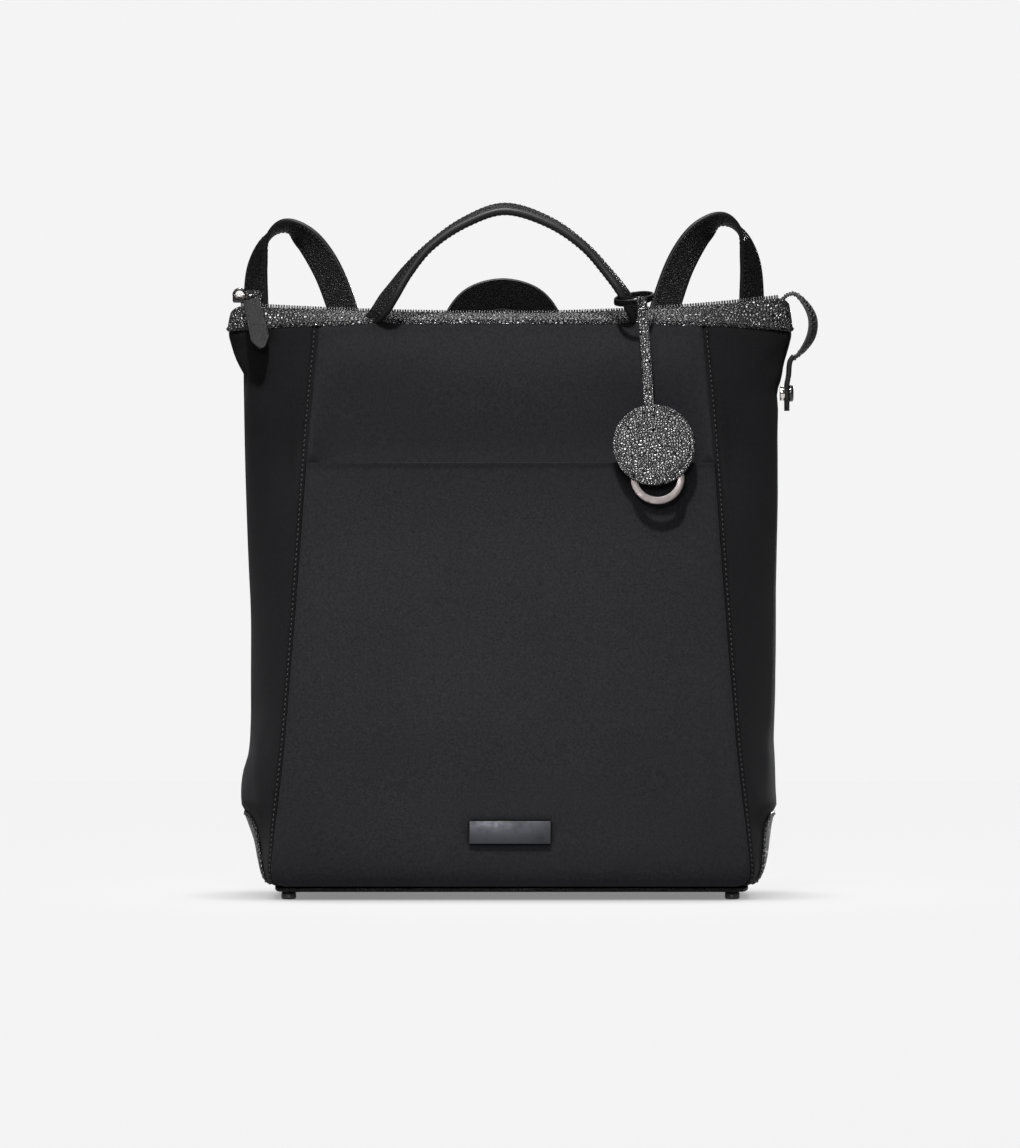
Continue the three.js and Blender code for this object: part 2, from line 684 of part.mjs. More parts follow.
// The pull's outline hangs from the keeper's lower front edge: wider below, with a blunt point.
const pullOutline = [
  { across: -0.36, down: 0 },
  { across: 0.36, down: 0 },
  { across: 0.5, down: 0.8 },
  { across: 0.14, down: 1 },
  { across: -0.14, down: 1 },
  { across: -0.5, down: 0.8 },
];
const pullShape = new THREE.Shape(
  pullOutline.map(({ across, down }) => new THREE.Vector2(across * pullWidth, -down * pullLength)),
);
const pull = meshOf("pull_tab", "leather",
  new THREE.ExtrudeGeometry(pullShape, { depth: pullThickness, bevelEnabled: false }));
const pullLean = 0.24; // radians, the lower end further from the bag's end
const pullPitch = -0.42; // radians, the lower end further forward
pull.rotation.order = "YXZ";
pull.rotation.set(Math.PI / 2 + pullPitch, -pullLean, 0);
pull.position.set(keeperX, -keeperDepth * 0.75 - gap - pullThickness - 1.2, keeperZ + keeperHeight * 0.3);
bag.add(pull);

// The nameplate, flat on the pocket.
const plateShape = new THREE.BoxGeometry(plateWidth, plateThickness, plateHeight);
const plate = meshOf("nameplate", "plate", plateShape);
const plateSlope = Math.atan2(
  pocketFaceY(plateX, plateZ + plateHeight / 2) - pocketFaceY(plateX, plateZ - plateHeight / 2),
  plateHeight,
);
plate.rotation.x = -plateSlope;
plate.position.set(plateX, pocketFaceY(plateX, plateZ) - gap - plateThickness / 2 - 0.2, plateZ);
bag.add(plate);

// The fob: two leather discs with the key ring and the strap's end between them, leaning on the
// pocket's top edge.
const fobSlope = Math.atan2(
  frontY(fobX, fobZ + fobRadius) - frontY(fobX, fobZ - fobRadius),
  2 * fobRadius,
);
const fob = new THREE.Group();
const fobLowZ = fobZ - fobRadius;
const fobPack = 2 * fobLeather + ringThickness + 2 * gap;
// How far forward the fob's plane has to stand to clear the pocket's face everywhere behind it.
const fobPlane = (z) => Math.tan(fobSlope) * (z - fobZ);
let fobY = 0;
for (const across of [-0.9, -0.45, 0, 0.45, 0.9]) {
  for (const z of [fobLowZ, lerp(fobLowZ, pocketHeight, 0.5), pocketHeight]) {
    fobY = Math.min(fobY, pocketFaceY(fobX + across * fobRadius, z) - fobPlane(z));
  }
}
fob.position.set(fobX, fobY - (gap + fobPack / 2) / Math.cos(fobSlope), fobZ);
fob.rotation.x = -fobSlope;
function flatDisc(name, radius, thickness, offset) {
  const mesh = meshOf(name, "leather", new THREE.CylinderGeometry(radius, radius, thickness, 32));
  mesh.position.y = offset;
  return mesh;
}
const layerOffset = (ringThickness + fobLeather) / 2 + gap;
fob.add(flatDisc("fob_disc", fobRadius, fobLeather, -layerOffset));
fob.add(flatDisc("fob_backing", fobRadius - 0.8, fobLeather, layerOffset));
const ringProfile = [
  new THREE.Vector2(ringRadius - ringBand, -ringThickness / 2),
  new THREE.Vector2(ringRadius, -ringThickness / 2),
  new THREE.Vector2(ringRadius, ringThickness / 2),
  new THREE.Vector2(ringRadius - ringBand, ringThickness / 2),
  new THREE.Vector2(ringRadius - ringBand, -ringThickness / 2),
];
const ring = meshOf("fob_ring", "metal", new THREE.LatheGeometry(ringProfile, 36));
ring.position.set(ringShiftX, 0, ringShiftZ);
fob.add(ring);
bag.add(fob);

// The fob's strap: a flat loop round the handle's right foot, and the strap down to the discs.
const loopZ = seamHeight + fobLoopStep;
const handleCurve = new THREE.CatmullRomCurve3(
  handlePath.map((p) => vec(p.x, p.y, p.z)), false, "centripetal");
const loopAt = handleCurve.getPoints(200).reduce((best, p) =>
  p.x > 0 && Math.abs(p.z - loopZ) < Math.abs(best.z - loopZ) ? p : best);
const loopHalfX = 12.4;
const loopHalfY = 13.6;
const loopShape = new THREE.Shape().absellipse(0, 0, loopHalfX, loopHalfY, 0, 2 * Math.PI);
loopShape.holes.push(new THREE.Path().absellipse(0, 0, loopHalfX - fobStrapThickness,
  loopHalfY - fobStrapThickness, 0, 2 * Math.PI));
const loop = meshOf("loop", "leather",
  new THREE.ExtrudeGeometry(loopShape, { depth: fobLoopHeight, bevelEnabled: false, curveSegments: 16 }));
loop.position.set(loopAt.x + 2.6, loopAt.y, loopZ - fobLoopHeight / 2);
const strapTopX = loop.position.x + loopHalfX - 1;
const discTop = vec(0, 0, fobRadius - fobStrapTuck).applyEuler(fob.rotation).add(fob.position);
const fobStrapPath = [
  { x: strapTopX, y: loop.position.y - 3.4, z: loopZ + fobLoopHeight / 2, turn: 0 },
  { x: strapTopX + 0.4, y: loop.position.y - 3.6, z: loopZ - fobLoopHeight * 4 / 3, turn: 0 },
  { x: lerp(strapTopX, discTop.x, 0.5), y: lerp(loop.position.y - 4, discTop.y, 0.55),
    z: lerp(loopZ, discTop.z, 0.5), turn: 0 },
  { x: discTop.x - 1, y: discTop.y + Math.tan(fobSlope) * 1.25 * fobStrapTuck,
    z: discTop.z + 1.25 * fobStrapTuck, turn: 0 },
  { x: discTop.x, y: discTop.y, z: discTop.z, turn: 0 },
];
const fobStrap = meshOf("strap", "leather",
  strapGeometry(fobStrapPath, fobStrapWidth, fobStrapThickness, 18));
bag.add(joined("fob_strap", "leather", [loop, fobStrap]));

// The origin is the middle of the box round the bag, on the surface that it stands on.
const box = new THREE.Box3().setFromObject(bag, true);
const centre = box.getCenter(vec(0, 0, 0));
bag.position.set(-centre.x, -centre.y, -box.min.z);
const backpack = new THREE.Group();
backpack.add(bag);

export default backpack;
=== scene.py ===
import math

import bmesh
import bpy
from mathutils import Matrix, Vector, noise


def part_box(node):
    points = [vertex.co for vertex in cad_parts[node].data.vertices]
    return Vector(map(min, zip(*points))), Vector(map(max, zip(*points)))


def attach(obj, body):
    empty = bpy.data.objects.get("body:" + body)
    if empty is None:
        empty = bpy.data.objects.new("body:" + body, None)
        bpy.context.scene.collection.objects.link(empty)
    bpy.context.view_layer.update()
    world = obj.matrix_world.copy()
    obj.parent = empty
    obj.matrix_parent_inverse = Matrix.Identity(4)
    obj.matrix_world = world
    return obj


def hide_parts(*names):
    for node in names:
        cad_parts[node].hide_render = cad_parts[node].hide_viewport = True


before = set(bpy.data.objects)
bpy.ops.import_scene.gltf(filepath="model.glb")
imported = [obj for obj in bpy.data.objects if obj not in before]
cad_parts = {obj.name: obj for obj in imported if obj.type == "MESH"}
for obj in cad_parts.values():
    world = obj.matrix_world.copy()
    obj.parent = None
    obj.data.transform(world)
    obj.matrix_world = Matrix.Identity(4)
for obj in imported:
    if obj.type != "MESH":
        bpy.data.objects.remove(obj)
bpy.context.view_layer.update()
bpy.ops.object.select_all(action="DESELECT")

# Camera
# The photograph is taken level, at the middle of the bag's height and from about four metres,
# so the bag shows its front and nothing of its sides.
MM = 0.001
front_feet = [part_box("foot_front_left"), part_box("foot_front_right")]
back_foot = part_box("foot_back_left")
BAG_X = (front_feet[0][0][0] + front_feet[1][1][0]) / 2
BAG_Y = (front_feet[0][0][1] + back_foot[1][1]) / 2
BASE_TOP = 7.857  # the leather base's upper face above the bag's foot, in millimetres
BAG_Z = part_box("base_panel")[1][2] - BASE_TOP * MM


def place(x, y, z):
    """A place in millimetres from the middle of the bag's foot, as the scene's metres."""
    return Vector((BAG_X + x * MM, BAG_Y + y * MM, BAG_Z + z * MM))


PHOTO_SCALE = 0.62  # millimetres on the bag's front in one pixel of the photograph
PHOTO_HEIGHT = 1148
CAMERA_AWAY = 4000
FRONT_PLANE = -30  # how far forward the pieces lie that this scale was read on
CAMERA_X = -0.3
CAMERA_Z = 201.2
camera_data = bpy.data.cameras.new("camera")
camera_data.sensor_fit = "VERTICAL"
camera_data.sensor_height = 36
camera_data.lens = camera_data.sensor_height * CAMERA_AWAY / (PHOTO_SCALE * PHOTO_HEIGHT)
camera_data.clip_end = 50
camera = bpy.data.objects.new("camera", camera_data)
camera.location = place(CAMERA_X, FRONT_PLANE - CAMERA_AWAY, CAMERA_Z)
camera.rotation_euler = (math.radians(90), 0, 0)
bpy.context.collection.objects.link(camera)
bpy.context.scene.camera = camera


# Studio
# A flat sheet of pale paper under the bag, a softbox and a spot high in front of it, a wide spot
# lower in front, a strip and a spot behind, and weak light from the room.
def linear(colour):
    """An sRGB hex colour as linear red, green and blue."""
    channels = [((colour >> shift) & 255) / 255 for shift in (16, 8, 0)]
    return [c / 12.92 if c <= 0.04045 else ((c + 0.055) / 1.055) ** 2.4 for c in channels]


def add_node(tree, kind, settings=None, links=None):
    """A node with its settings (sockets and properties) and its inputs' links."""
    node = tree.nodes.new(kind)
    for key, value in (settings or {}).items():
        if isinstance(key, int) or key in node.inputs:
            node.inputs[key].default_value = value
        else:
            setattr(node, key, value)
    for key, source in (links or {}).items():
        tree.links.new(source, node.inputs[key])
    return node


def new_material(name):
    """An empty material, with its tree."""
    material = bpy.data.materials.new(name)
    material.use_nodes = True
    material.node_tree.nodes.clear()
    return material, material.node_tree


def set_surface(tree, settings, links=None):
    """Gives a material its surface, from what it is set to and what is linked to it."""
    surface = add_node(tree, "ShaderNodeBsdfPrincipled", settings, links)
    add_node(tree, "ShaderNodeOutputMaterial", links={0: surface.outputs[0]})


def smooth_object(name, mesh, *materials):
    """A new object from a mesh, shaded smooth and with its materials."""
    mesh.shade_smooth()
    for material in materials:
        mesh.materials.append(material)
    piece = bpy.data.objects.new(name, mesh)
    bpy.context.collection.objects.link(piece)
    return piece


PAPER = 0xF4F4F4
PAPER_GREY = 0x1E1E1E
PAPER_GLOW = 0.985  # the paper is lit from below as well, so that it keeps an even tone
PAINTED_SHADOW_GLOW = 0.25  # painted shadow: the share of the glow left right under the bag
PAINTED_SHADOW_REACH = 0.07  # how far from the bag the painted shadow reaches, in metres
paper, tree = new_material("matte_paper")
# Painted shadow: ambient occlusion dims the paper's glow near the bag, as a cast shadow would.
painted_contact_shadow = add_node(tree, "ShaderNodeAmbientOcclusion", {"samples": 8, "Distance": PAINTED_SHADOW_REACH})
glow = add_node(tree, "ShaderNodeMapRange", {1: 0.0, 2: 0.9, 3: PAINTED_SHADOW_GLOW, 4: PAPER_GLOW},
                {0: painted_contact_shadow.outputs["AO"]})
set_surface(tree, {
    "Base Color": (*linear(PAPER_GREY), 1), "Roughness": 0.95, "Specular IOR Level": 0.0,
    "Emission Color": (*linear(PAPER), 1),
}, {"Emission Strength": glow.outputs[0]})

FLOOR_FRONT = -2.1
FLOOR_BACK = 2.2
FLOOR_HALF = 0.9
floor_mesh = bpy.data.meshes.new("paper_floor")
floor_mesh.from_pydata([(-FLOOR_HALF, FLOOR_FRONT, 0), (FLOOR_HALF, FLOOR_FRONT, 0),
                        (FLOOR_HALF, FLOOR_BACK, 0), (-FLOOR_HALF, FLOOR_BACK, 0)],
                       [], [(0, 1, 2, 3)])
smooth_object("paper_floor", floor_mesh, paper)

LIGHTS = [
    # name, kind, size in metres or beam in degrees, watts, place and what it points at in metres
    {"name": "high_softbox", "kind": "AREA", "width": 0.8, "depth": 0.55, "watts": 45,
     "at": (-0.3, -1.0, 2.75), "to": (0.0, 0.0, 0.2)},
    {"name": "high_spot", "kind": "SPOT", "beam": 17, "radius": 0.08, "watts": 560,
     "at": (-0.1, -1.15, 2.4), "to": (0.0, -0.06, 0.2)},
    {"name": "rear_strip", "kind": "AREA", "width": 1.2, "depth": 0.2, "watts": 6,
     "at": (0.1, 1.2, 1.5), "to": (0.0, 0.0, 0.35)},
    {"name": "rear_spot", "kind": "SPOT", "beam": 10.5, "radius": 0.2, "watts": 420,
     "at": (0.9, 2.4, 0.6), "to": (0.0, 0.06, 0.15)},
    {"name": "front_spot", "kind": "SPOT", "beam": 14.5, "radius": 0.24, "watts": 290,
     "at": (-0.2, -2.1, 0.75), "to": (-0.03, -0.06, 0.09)},
    {"name": "glint_lamp", "kind": "AREA", "width": 0.4, "depth": 0.25, "watts": 6,
     "at": (-0.35, -1.9, 1.3), "to": (0.0, 0.0, 0.3)},
]
for row in LIGHTS:
    light = bpy.data.lights.new(row["name"], row["kind"])
    light.energy = row["watts"]
    if row["kind"] == "AREA":
        light.shape = "RECTANGLE"
        light.size = row["width"]
        light.size_y = row["depth"]
    else:
        light.spot_size = math.radians(row["beam"])
        light.spot_blend = 1.0
        light.shadow_soft_size = row["radius"]
    lamp = bpy.data.objects.new(row["name"], light)
    lamp.location = row["at"]
    lamp.rotation_euler = (Vector(row["to"]) - Vector(row["at"])).to_track_quat("-Z", "Y").to_euler()
    bpy.context.collection.objects.link(lamp)

# The room gives a weak even light, and is as pale as the paper where the camera sees it.
ROOM_LIGHT = 0.06
room = bpy.data.worlds.new("room")
room.use_nodes = True
seen = add_node(room.node_tree, "ShaderNodeLightPath")
room_glow = add_node(room.node_tree, "ShaderNodeMapRange", {3: ROOM_LIGHT, 4: 1.0},
                     {0: seen.outputs["Is Camera Ray"]})
backdrop = room.node_tree.nodes["Background"]
backdrop.inputs["Color"].default_value = (*linear(PAPER), 1)
room.node_tree.links.new(room_glow.outputs[0], backdrop.inputs["Strength"])
bpy.context.scene.world = room
bpy.context.scene.view_settings.view_transform = "Standard"


# Neoprene body
# Front, back and two side gussets of 3 mm neoprene, faced with a fine black knit. They are cut to
# shape, sewn inside out and turned, so every seam is a soft rolled groove with a row of stitches.
HALF_WIDTH = 165
BASE_DEPTH = 126
SEAM_HEIGHT = 357
SEAM_DROP = 4.5
FRONT_SWELL = 3.5
GUSSET_SOFTNESS = 1.8  # the cloth turns the seam more gently than the CAD solid does
NEOPRENE = 3
LEATHER = 1.8
CLEARANCE = 0.3
PATCH_HEIGHT = 54

# Shares of the seam's height, the half width, the half width, the half width and the base's
# depth, and how square the side is in plan.
SECTION_COLUMNS = ("height", "left", "right", "seam", "depth", "round")
SECTIONS = [dict(zip(SECTION_COLUMNS, row)) for row in (
    (0.023, 0.911, 0.920, 0.860, 0.900, 0.34),
    (0.030, 0.929, 0.938, 0.882, 0.945, 0.36),
    (0.043, 0.944, 0.956, 0.893, 0.980, 0.38),
    (0.068, 0.957, 0.971, 0.891, 1.000, 0.40),
    (0.100, 0.971, 0.981, 0.884, 1.000, 0.42),
    (0.130, 0.994, 0.990, 0.877, 0.990, 0.44),
    (0.157, 1.015, 1.006, 0.870, 0.980, 0.46),
    (0.190, 1.020, 1.004, 0.862, 0.965, 0.48),
    (0.222, 1.012, 1.002, 0.854, 0.950, 0.50),
    (0.250, 0.994, 1.000, 0.848, 0.935, 0.50),
    (0.280, 0.986, 0.997, 0.842, 0.920, 0.50),
    (0.345, 0.982, 1.001, 0.831, 0.880, 0.52),
    (0.480, 0.983, 1.005, 0.809, 0.795, 0.54),
    (0.600, 0.992, 1.008, 0.791, 0.710, 0.57),
    (0.700, 1.000, 1.012, 0.777, 0.635, 0.60),
    (0.810, 1.004, 1.013, 0.761, 0.545, 0.64),
    (0.862, 1.008, 1.014, 0.752, 0.500, 0.68),
    (0.890, 1.004, 1.010, 0.747, 0.478, 0.70),
    (0.916, 1.004, 1.026, 0.742, 0.455, 0.72),
    (0.941, 1.028, 1.035, 0.737, 0.432, 0.75),
    (0.966, 1.052, 1.052, 0.732, 0.410, 0.78),
    (1.000, 1.070, 1.067, 0.727, 0.382, 0.80),
)]


def clamp(value, low=0.0, high=1.0):
    return min(max(value, low), high)


def lerp(a, b, t):
    return a + (b - a) * t


def ease(value):
    """A smooth step from 0 to 1."""
    t = clamp(value)
    return t * t * (3 - 2 * t)


def section_at(height):
    """The body's section at a share of its height, on a smooth curve through the rows."""
    h = clamp(height, SECTIONS[0]["height"], 1)
    last = len(SECTIONS) - 1
    i = max(k for k in range(last) if SECTIONS[k]["height"] <= h)
    before, low, high, after = (SECTIONS[clamp(i + k, 0, last)] for k in (-1, 0, 1, 2))
    span = high["height"] - low["height"]
    t = (h - low["height"]) / span
    row = {"height": h}
    for key in SECTION_COLUMNS[1:]:
        start = (high[key] - before[key]) / (high["height"] - before["height"]) * span
        end = (after[key] - low[key]) / (after["height"] - low["height"]) * span
        row[key] = ((2 * t ** 3 - 3 * t ** 2 + 1) * low[key] + (t ** 3 - 2 * t ** 2 + t) * start
                    + (3 * t ** 2 - 2 * t ** 3) * high[key] + (t ** 3 - t ** 2) * end)
    row["round"] *= GUSSET_SOFTNESS
    return row


def end_share(x):
    return abs(x) / (HALF_WIDTH * SECTIONS[-1]["left"])


HANDLE_SHIFT = -1.5
HANDLE_SPAN = 157
SEAM_PINCH = 1.6  # the handle's feet draw the seam up
PINCH_REACH = 9


def seam_z(x):
    """Height of the seam between the neoprene and the leather band."""
    from_foot = (abs(x - HANDLE_SHIFT) - HANDLE_SPAN / 2) / PINCH_REACH
    return SEAM_HEIGHT - SEAM_DROP * end_share(x) ** 3 + SEAM_PINCH * math.exp(-from_foot ** 2)


FACE_STEPS = 120
GUSSET_STEPS = 240
PATCH_BED = 2  # how far above the patch the gusset is drawn in to take it
PATCH_BED_EASE = 4


def face_curve(row, side):
    """The front (side -1) or back (side 1) of the body in plan, anticlockwise."""
    seam = row["seam"] * HALF_WIDTH
    depth = row["depth"] * BASE_DEPTH / 2
    swell = FRONT_SWELL * math.sin(math.pi * row["height"])
    shares = [2 * i / FACE_STEPS - 1 for i in range(FACE_STEPS + 1)]
    return [(-side * a * seam, side * (depth + swell * (1 - a * a))) for a in shares]


def gusset_curve(row, side):
    """The left (side -1) or right (side 1) gusset of the body in plan, anticlockwise."""
    seam = row["seam"] * HALF_WIDTH
    depth = row["depth"] * BASE_DEPTH / 2
    bed_top = PATCH_HEIGHT + PATCH_BED
    under_patch = ease((bed_top - row["height"] * SEAM_HEIGHT) / PATCH_BED_EASE)
    reach = row["right" if side > 0 else "left"] * HALF_WIDTH
    reach -= (CLEARANCE + LEATHER) * under_patch
    curve = []
    for i in range(GUSSET_STEPS + 1):
        angle = math.pi * i / GUSSET_STEPS
        bow = math.sin(angle) ** (2 * row["round"]) if 0 < i < GUSSET_STEPS else 0
        curve.append((side * lerp(seam, reach, bow), -side * depth * math.cos(angle)))
    return curve


def resampled(curve, shares):
    """Points at the shares of a curve's length."""
    lengths = [0.0]
    for a, b in zip(curve, curve[1:]):
        lengths.append(lengths[-1] + math.dist(a, b))
    points = []
    k = 0
    for share in shares:
        at = share * lengths[-1]
        while k < len(curve) - 2 and lengths[k + 1] < at:
            k += 1
        t = (at - lengths[k]) / max(lengths[k + 1] - lengths[k], 1e-9)
        points.append(tuple(lerp(p, q, t) for p, q in zip(curve[k], curve[k + 1])))
    return points


EDGE_STEPS = (0, 0.4, 0.9, 1.5, 2.2, 3, 3.6, 4.2, 5.2)  # millimetres from a seam, closer at its roll


def graded(length, count):
    """Shares of a length: close together near both ends, then even."""
    inner = [lerp(EDGE_STEPS[-1], length - EDGE_STEPS[-1], i / count) for i in range(1, count)]
    near = list(EDGE_STEPS)
    return [s / length for s in near + inner + [length - s for s in reversed(near)]]


def grid_normals(rows):
    """Outward normals of a grid of points whose rows run anticlockwise and upwards."""
    last_row = len(rows) - 1
    last = len(rows[0]) - 1
    normals = []
    for r in range(last_row + 1):
        line = []
        for c in range(last + 1):
            along = rows[r][min(c + 1, last)] - rows[r][max(c - 1, 0)]
            up = rows[min(r + 1, last_row)][c] - rows[max(r - 1, 0)][c]
            line.append(along.cross(up).normalized())
        normals.append(line)
    return normals


def edge_distances(rows):
    """For each grid point, how far it is along the cloth from the left, right, lower, upper edge."""
    height = len(rows)
    width = len(rows[0])
    along = [[0.0] * width for _ in rows]
    up = [[0.0] * width for _ in rows]
    for r in range(height):
        for c in range(width):
            if c:
                along[r][c] = along[r][c - 1] + (rows[r][c] - rows[r][c - 1]).length
            if r:
                up[r][c] = up[r - 1][c] + (rows[r][c] - rows[r - 1][c]).length
    return [[(along[r][c], along[r][-1] - along[r][c], up[r][c], up[-1][c] - up[r][c])
             for c in range(width)] for r in range(height)]


def roll(distance, width, depth):
    """How far a turned edge rolls in at a distance from its seam."""
    if distance >= width:
        return 0.0
    return depth * (1 - math.sqrt(max(0.0, 1 - (1 - distance / width) ** 2)))


def shifted(rows, lift):
    """A grid with each point moved along its normal by lift(point, left, right, low, high)."""
    normals = grid_normals(rows)
    distances = edge_distances(rows)
    return [[point + normals[r][c] * lift(point, *distances[r][c]) for c, point in enumerate(row)]
            for r, row in enumerate(rows)]


# Soft folds and hollows of the empty bag, as ridges (above 0) and hollows (below 0).
FOLDS = [
    {"start": (-172, -8, 343), "end": (-150, -27, 312), "width": 6, "height": -2.2},
    {"start": (-174, -6, 331), "end": (-160, -20, 300), "width": 7, "height": 1.2},
    {"start": (172, -8, 340), "end": (152, -27, 310), "width": 6, "height": -1.8},
    {"start": (-166, -34, 96), "end": (-158, -52, 62), "width": 9, "height": 1.6},
    {"start": (-167, -20, 118), "end": (-160, -44, 100), "width": 9, "height": -1.6},
    {"start": (166, -34, 92), "end": (158, -52, 64), "width": 10, "height": 1.2},
    {"start": (-118, -24, 330), "end": (-60, -26, 340), "width": 16, "height": 0.9},
    {"start": (-120, -32, 272), "end": (120, -32, 272), "width": 30, "height": -7.5},
    {"start": (-100, -27, 332), "end": (100, -27, 332), "width": 18, "height": 1.6},
    {"start": (60, -24, 338), "end": (118, -24, 326), "width": 16, "height": 0.8},
    {"start": (-168, 30, 110), "end": (-160, 46, 84), "width": 10, "height": 1.4},
    {"start": (168, 30, 110), "end": (160, 46, 84), "width": 10, "height": 1.4},
    {"start": (-90, 60, 150), "end": (80, 58, 128), "width": 26, "height": 1.2},
]
RIPPLES = ({"height": 0.35, "per_mm": 0.018}, {"height": 0.12, "per_mm": 0.06})


def fold_height(point, folds):
    """How far the cloth stands off its even shape at a place, from the folds and slow ripples."""
    height = sum(ripple["height"] * noise.noise(point * ripple["per_mm"]) for ripple in RIPPLES)
    for fold in folds:
        start = Vector(fold["start"])
        run = Vector(fold["end"]) - start
        t = clamp((point - start).dot(run) / run.length_squared)
        away = (point - start - run * t).length / fold["width"]
        if away < 3:
            height += fold["height"] * math.exp(-away * away)
    return height


def grid_mesh(name, rows):
    """A mesh in place from a grid of points in millimetres, with a flat map of it in metres."""
    width = len(rows[0])
    distances = edge_distances(rows)
    points = [place(*p) for row in rows for p in row]
    faces = [(r * width + c, r * width + c + 1, (r + 1) * width + c + 1, (r + 1) * width + c)
             for r in range(len(rows) - 1) for c in range(width - 1)]
    mesh = bpy.data.meshes.new(name)
    mesh.from_pydata(points, [], faces)
    flat = mesh.uv_layers.new(name="flat")
    for loop in mesh.loops:
        left, _, low, _ = distances[loop.vertex_index // width][loop.vertex_index % width]
        flat.data[loop.index].uv = (left * MM, low * MM)
    return mesh


def select_only(piece):
    bpy.ops.object.select_all(action="DESELECT")
    piece.select_set(True)
    bpy.context.view_layer.objects.active = piece


def apply_modifier(piece, kind, **settings):
    """Adds a modifier with its settings to a piece and applies it."""
    modifier = piece.modifiers.new(kind.lower(), kind)
    for key, value in settings.items():
        setattr(modifier, key, value)
    select_only(piece)
    bpy.ops.object.modifier_apply(modifier=modifier.name)


def round_edges(piece, width, segments=3, above=55):
    """Rounds a piece's edges that turn by more than `above` degrees, by a width in millimetres."""
    apply_modifier(piece, "BEVEL", width=width * MM, segments=segments, limit_method="ANGLE",
                   angle_limit=math.radians(above))


def sheet_piece(name, rows, material, thickness, edge):
    """A wall of its own thickness from its outer face, with rounded cut edges."""
    piece = smooth_object(name, grid_mesh(name, rows), material)
    apply_modifier(piece, "SOLIDIFY", thickness=thickness * MM, offset=-1, use_even_offset=True)
    round_edges(piece, edge)
    return piece


def dress(piece, node):
    """Puts a piece on the bag's one body, in place of a CAD node, whose part it hides."""
    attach(piece, "root")
    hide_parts(node)


def own_noise(tree, size, detail=2.0):
    """Noise in a piece's own coordinates, its spots of a size in millimetres."""
    local = add_node(tree, "ShaderNodeTexCoord")
    return add_node(tree, "ShaderNodeTexNoise", {"Scale": 1 / (size * MM), "Detail": detail},
                    {"Vector": local.outputs["Object"]})


def bump_of(tree, height, strength, deep):
    """A bump from a socket that gives the height, `deep` millimetres at full strength."""
    return add_node(tree, "ShaderNodeBump", {"Strength": strength, "Distance": deep * MM},
                    {"Height": height})


def colour_mix(tree, low, high, share):
    """A mix of two linear colours by a socket that gives the second one's share."""
    return add_node(tree, "ShaderNodeMix", {"data_type": "RGBA", 6: (*low, 1), 7: (*high, 1)},
                    {0: share})


# Knitted facing on neoprene rubber: soft, dull and nearly black, with a short nap. The knit's
# columns are 0.5 mm apart on the real cloth, drawn at 0.9 mm so that they show.
KNIT_BLACK = 0x141416
KNIT_COLUMN = 0.9
KNIT_ROW = 0.7
KNIT_SPREAD = 0.14  # how much the tone of the knit wanders over the cloth
KNIT_SHADE_REACH = 8  # how near two faces come before the painted shade darkens them
knitted_neoprene, tree = new_material("knitted_neoprene")
flat_map = add_node(tree, "ShaderNodeUVMap", {"uv_map": "flat"})
axes = add_node(tree, "ShaderNodeSeparateXYZ", links={0: flat_map.outputs[0]})
knit_across = add_node(tree, "ShaderNodeMath", {"operation": "MULTIPLY", 1: 1 / (KNIT_COLUMN * MM)},
                       {0: axes.outputs[0]})
knit_up = add_node(tree, "ShaderNodeMath", {"operation": "MULTIPLY", 1: 1 / (KNIT_ROW * MM)},
                   {0: axes.outputs[1]})
zigzag = add_node(tree, "ShaderNodeMath", {"operation": "PINGPONG", 1: 0.5},
                  {0: knit_across.outputs[0]})
slant = add_node(tree, "ShaderNodeMath", {"operation": "ADD"},
                 {0: knit_up.outputs[0], 1: zigzag.outputs[0]})
loops = add_node(tree, "ShaderNodeMath", {"operation": "PINGPONG", 1: 0.5}, {0: slant.outputs[0]})
knit_height = add_node(tree, "ShaderNodeMath", {"operation": "MULTIPLY"},
                       {0: zigzag.outputs[0], 1: loops.outputs[0]})
nap = own_noise(tree, 1.3, 3.0)
shade = own_noise(tree, 70)
tone = colour_mix(tree, [c * (1 - KNIT_SPREAD) for c in linear(KNIT_BLACK)],
                  [c * (1 + KNIT_SPREAD) for c in linear(KNIT_BLACK)], shade.outputs[0])
speckle = add_node(tree, "ShaderNodeMapRange", {1: 0.3, 2: 0.7, 3: 0.68, 4: 1.32},
                   {0: nap.outputs[0]})
flecked = add_node(tree, "ShaderNodeVectorMath", {"operation": "SCALE"},
                   {0: tone.outputs[2], "Scale": speckle.outputs[0]})
# Painted shade: the knit's colour is darkened where other faces come near, in seams, creases and under
# the band, pocket and fob.
shaded = add_node(tree, "ShaderNodeAmbientOcclusion", {"samples": 6, "Distance": KNIT_SHADE_REACH * MM})
painted_crease_shade = add_node(tree, "ShaderNodeMath", {"operation": "POWER", 1: 4.0}, {0: shaded.outputs["AO"]})
knit_colour = add_node(tree, "ShaderNodeVectorMath", {"operation": "SCALE"},
                       {0: flecked.outputs[0], "Scale": painted_crease_shade.outputs[0]})
knit_bump = bump_of(tree, knit_height.outputs[0], 0.5, 0.25)
set_surface(tree, {
    "Roughness": 0.9, "Specular IOR Level": 0.08, "Sheen Weight": 0.02, "Sheen Roughness": 0.5,
    "Sheen Tint": (0.8, 0.8, 0.85, 1),
}, {"Base Color": knit_colour.outputs[0], "Normal": knit_bump.outputs[0]})

# The gussets get a copy of the knit at under half its tone: painted shade for the sides, which turn
# away from the light.
GUSSET_PAINTED_SHADE = 0.46
shaded_gusset_neoprene = knitted_neoprene.copy()
shaded_gusset_neoprene.name = "knitted_neoprene_painted_shade"
for socket in (6, 7):
    ground = shaded_gusset_neoprene.node_tree.nodes[tone.name].inputs[socket]
    ground.default_value = [c * GUSSET_PAINTED_SHADE for c in ground.default_value[:3]] + [1]

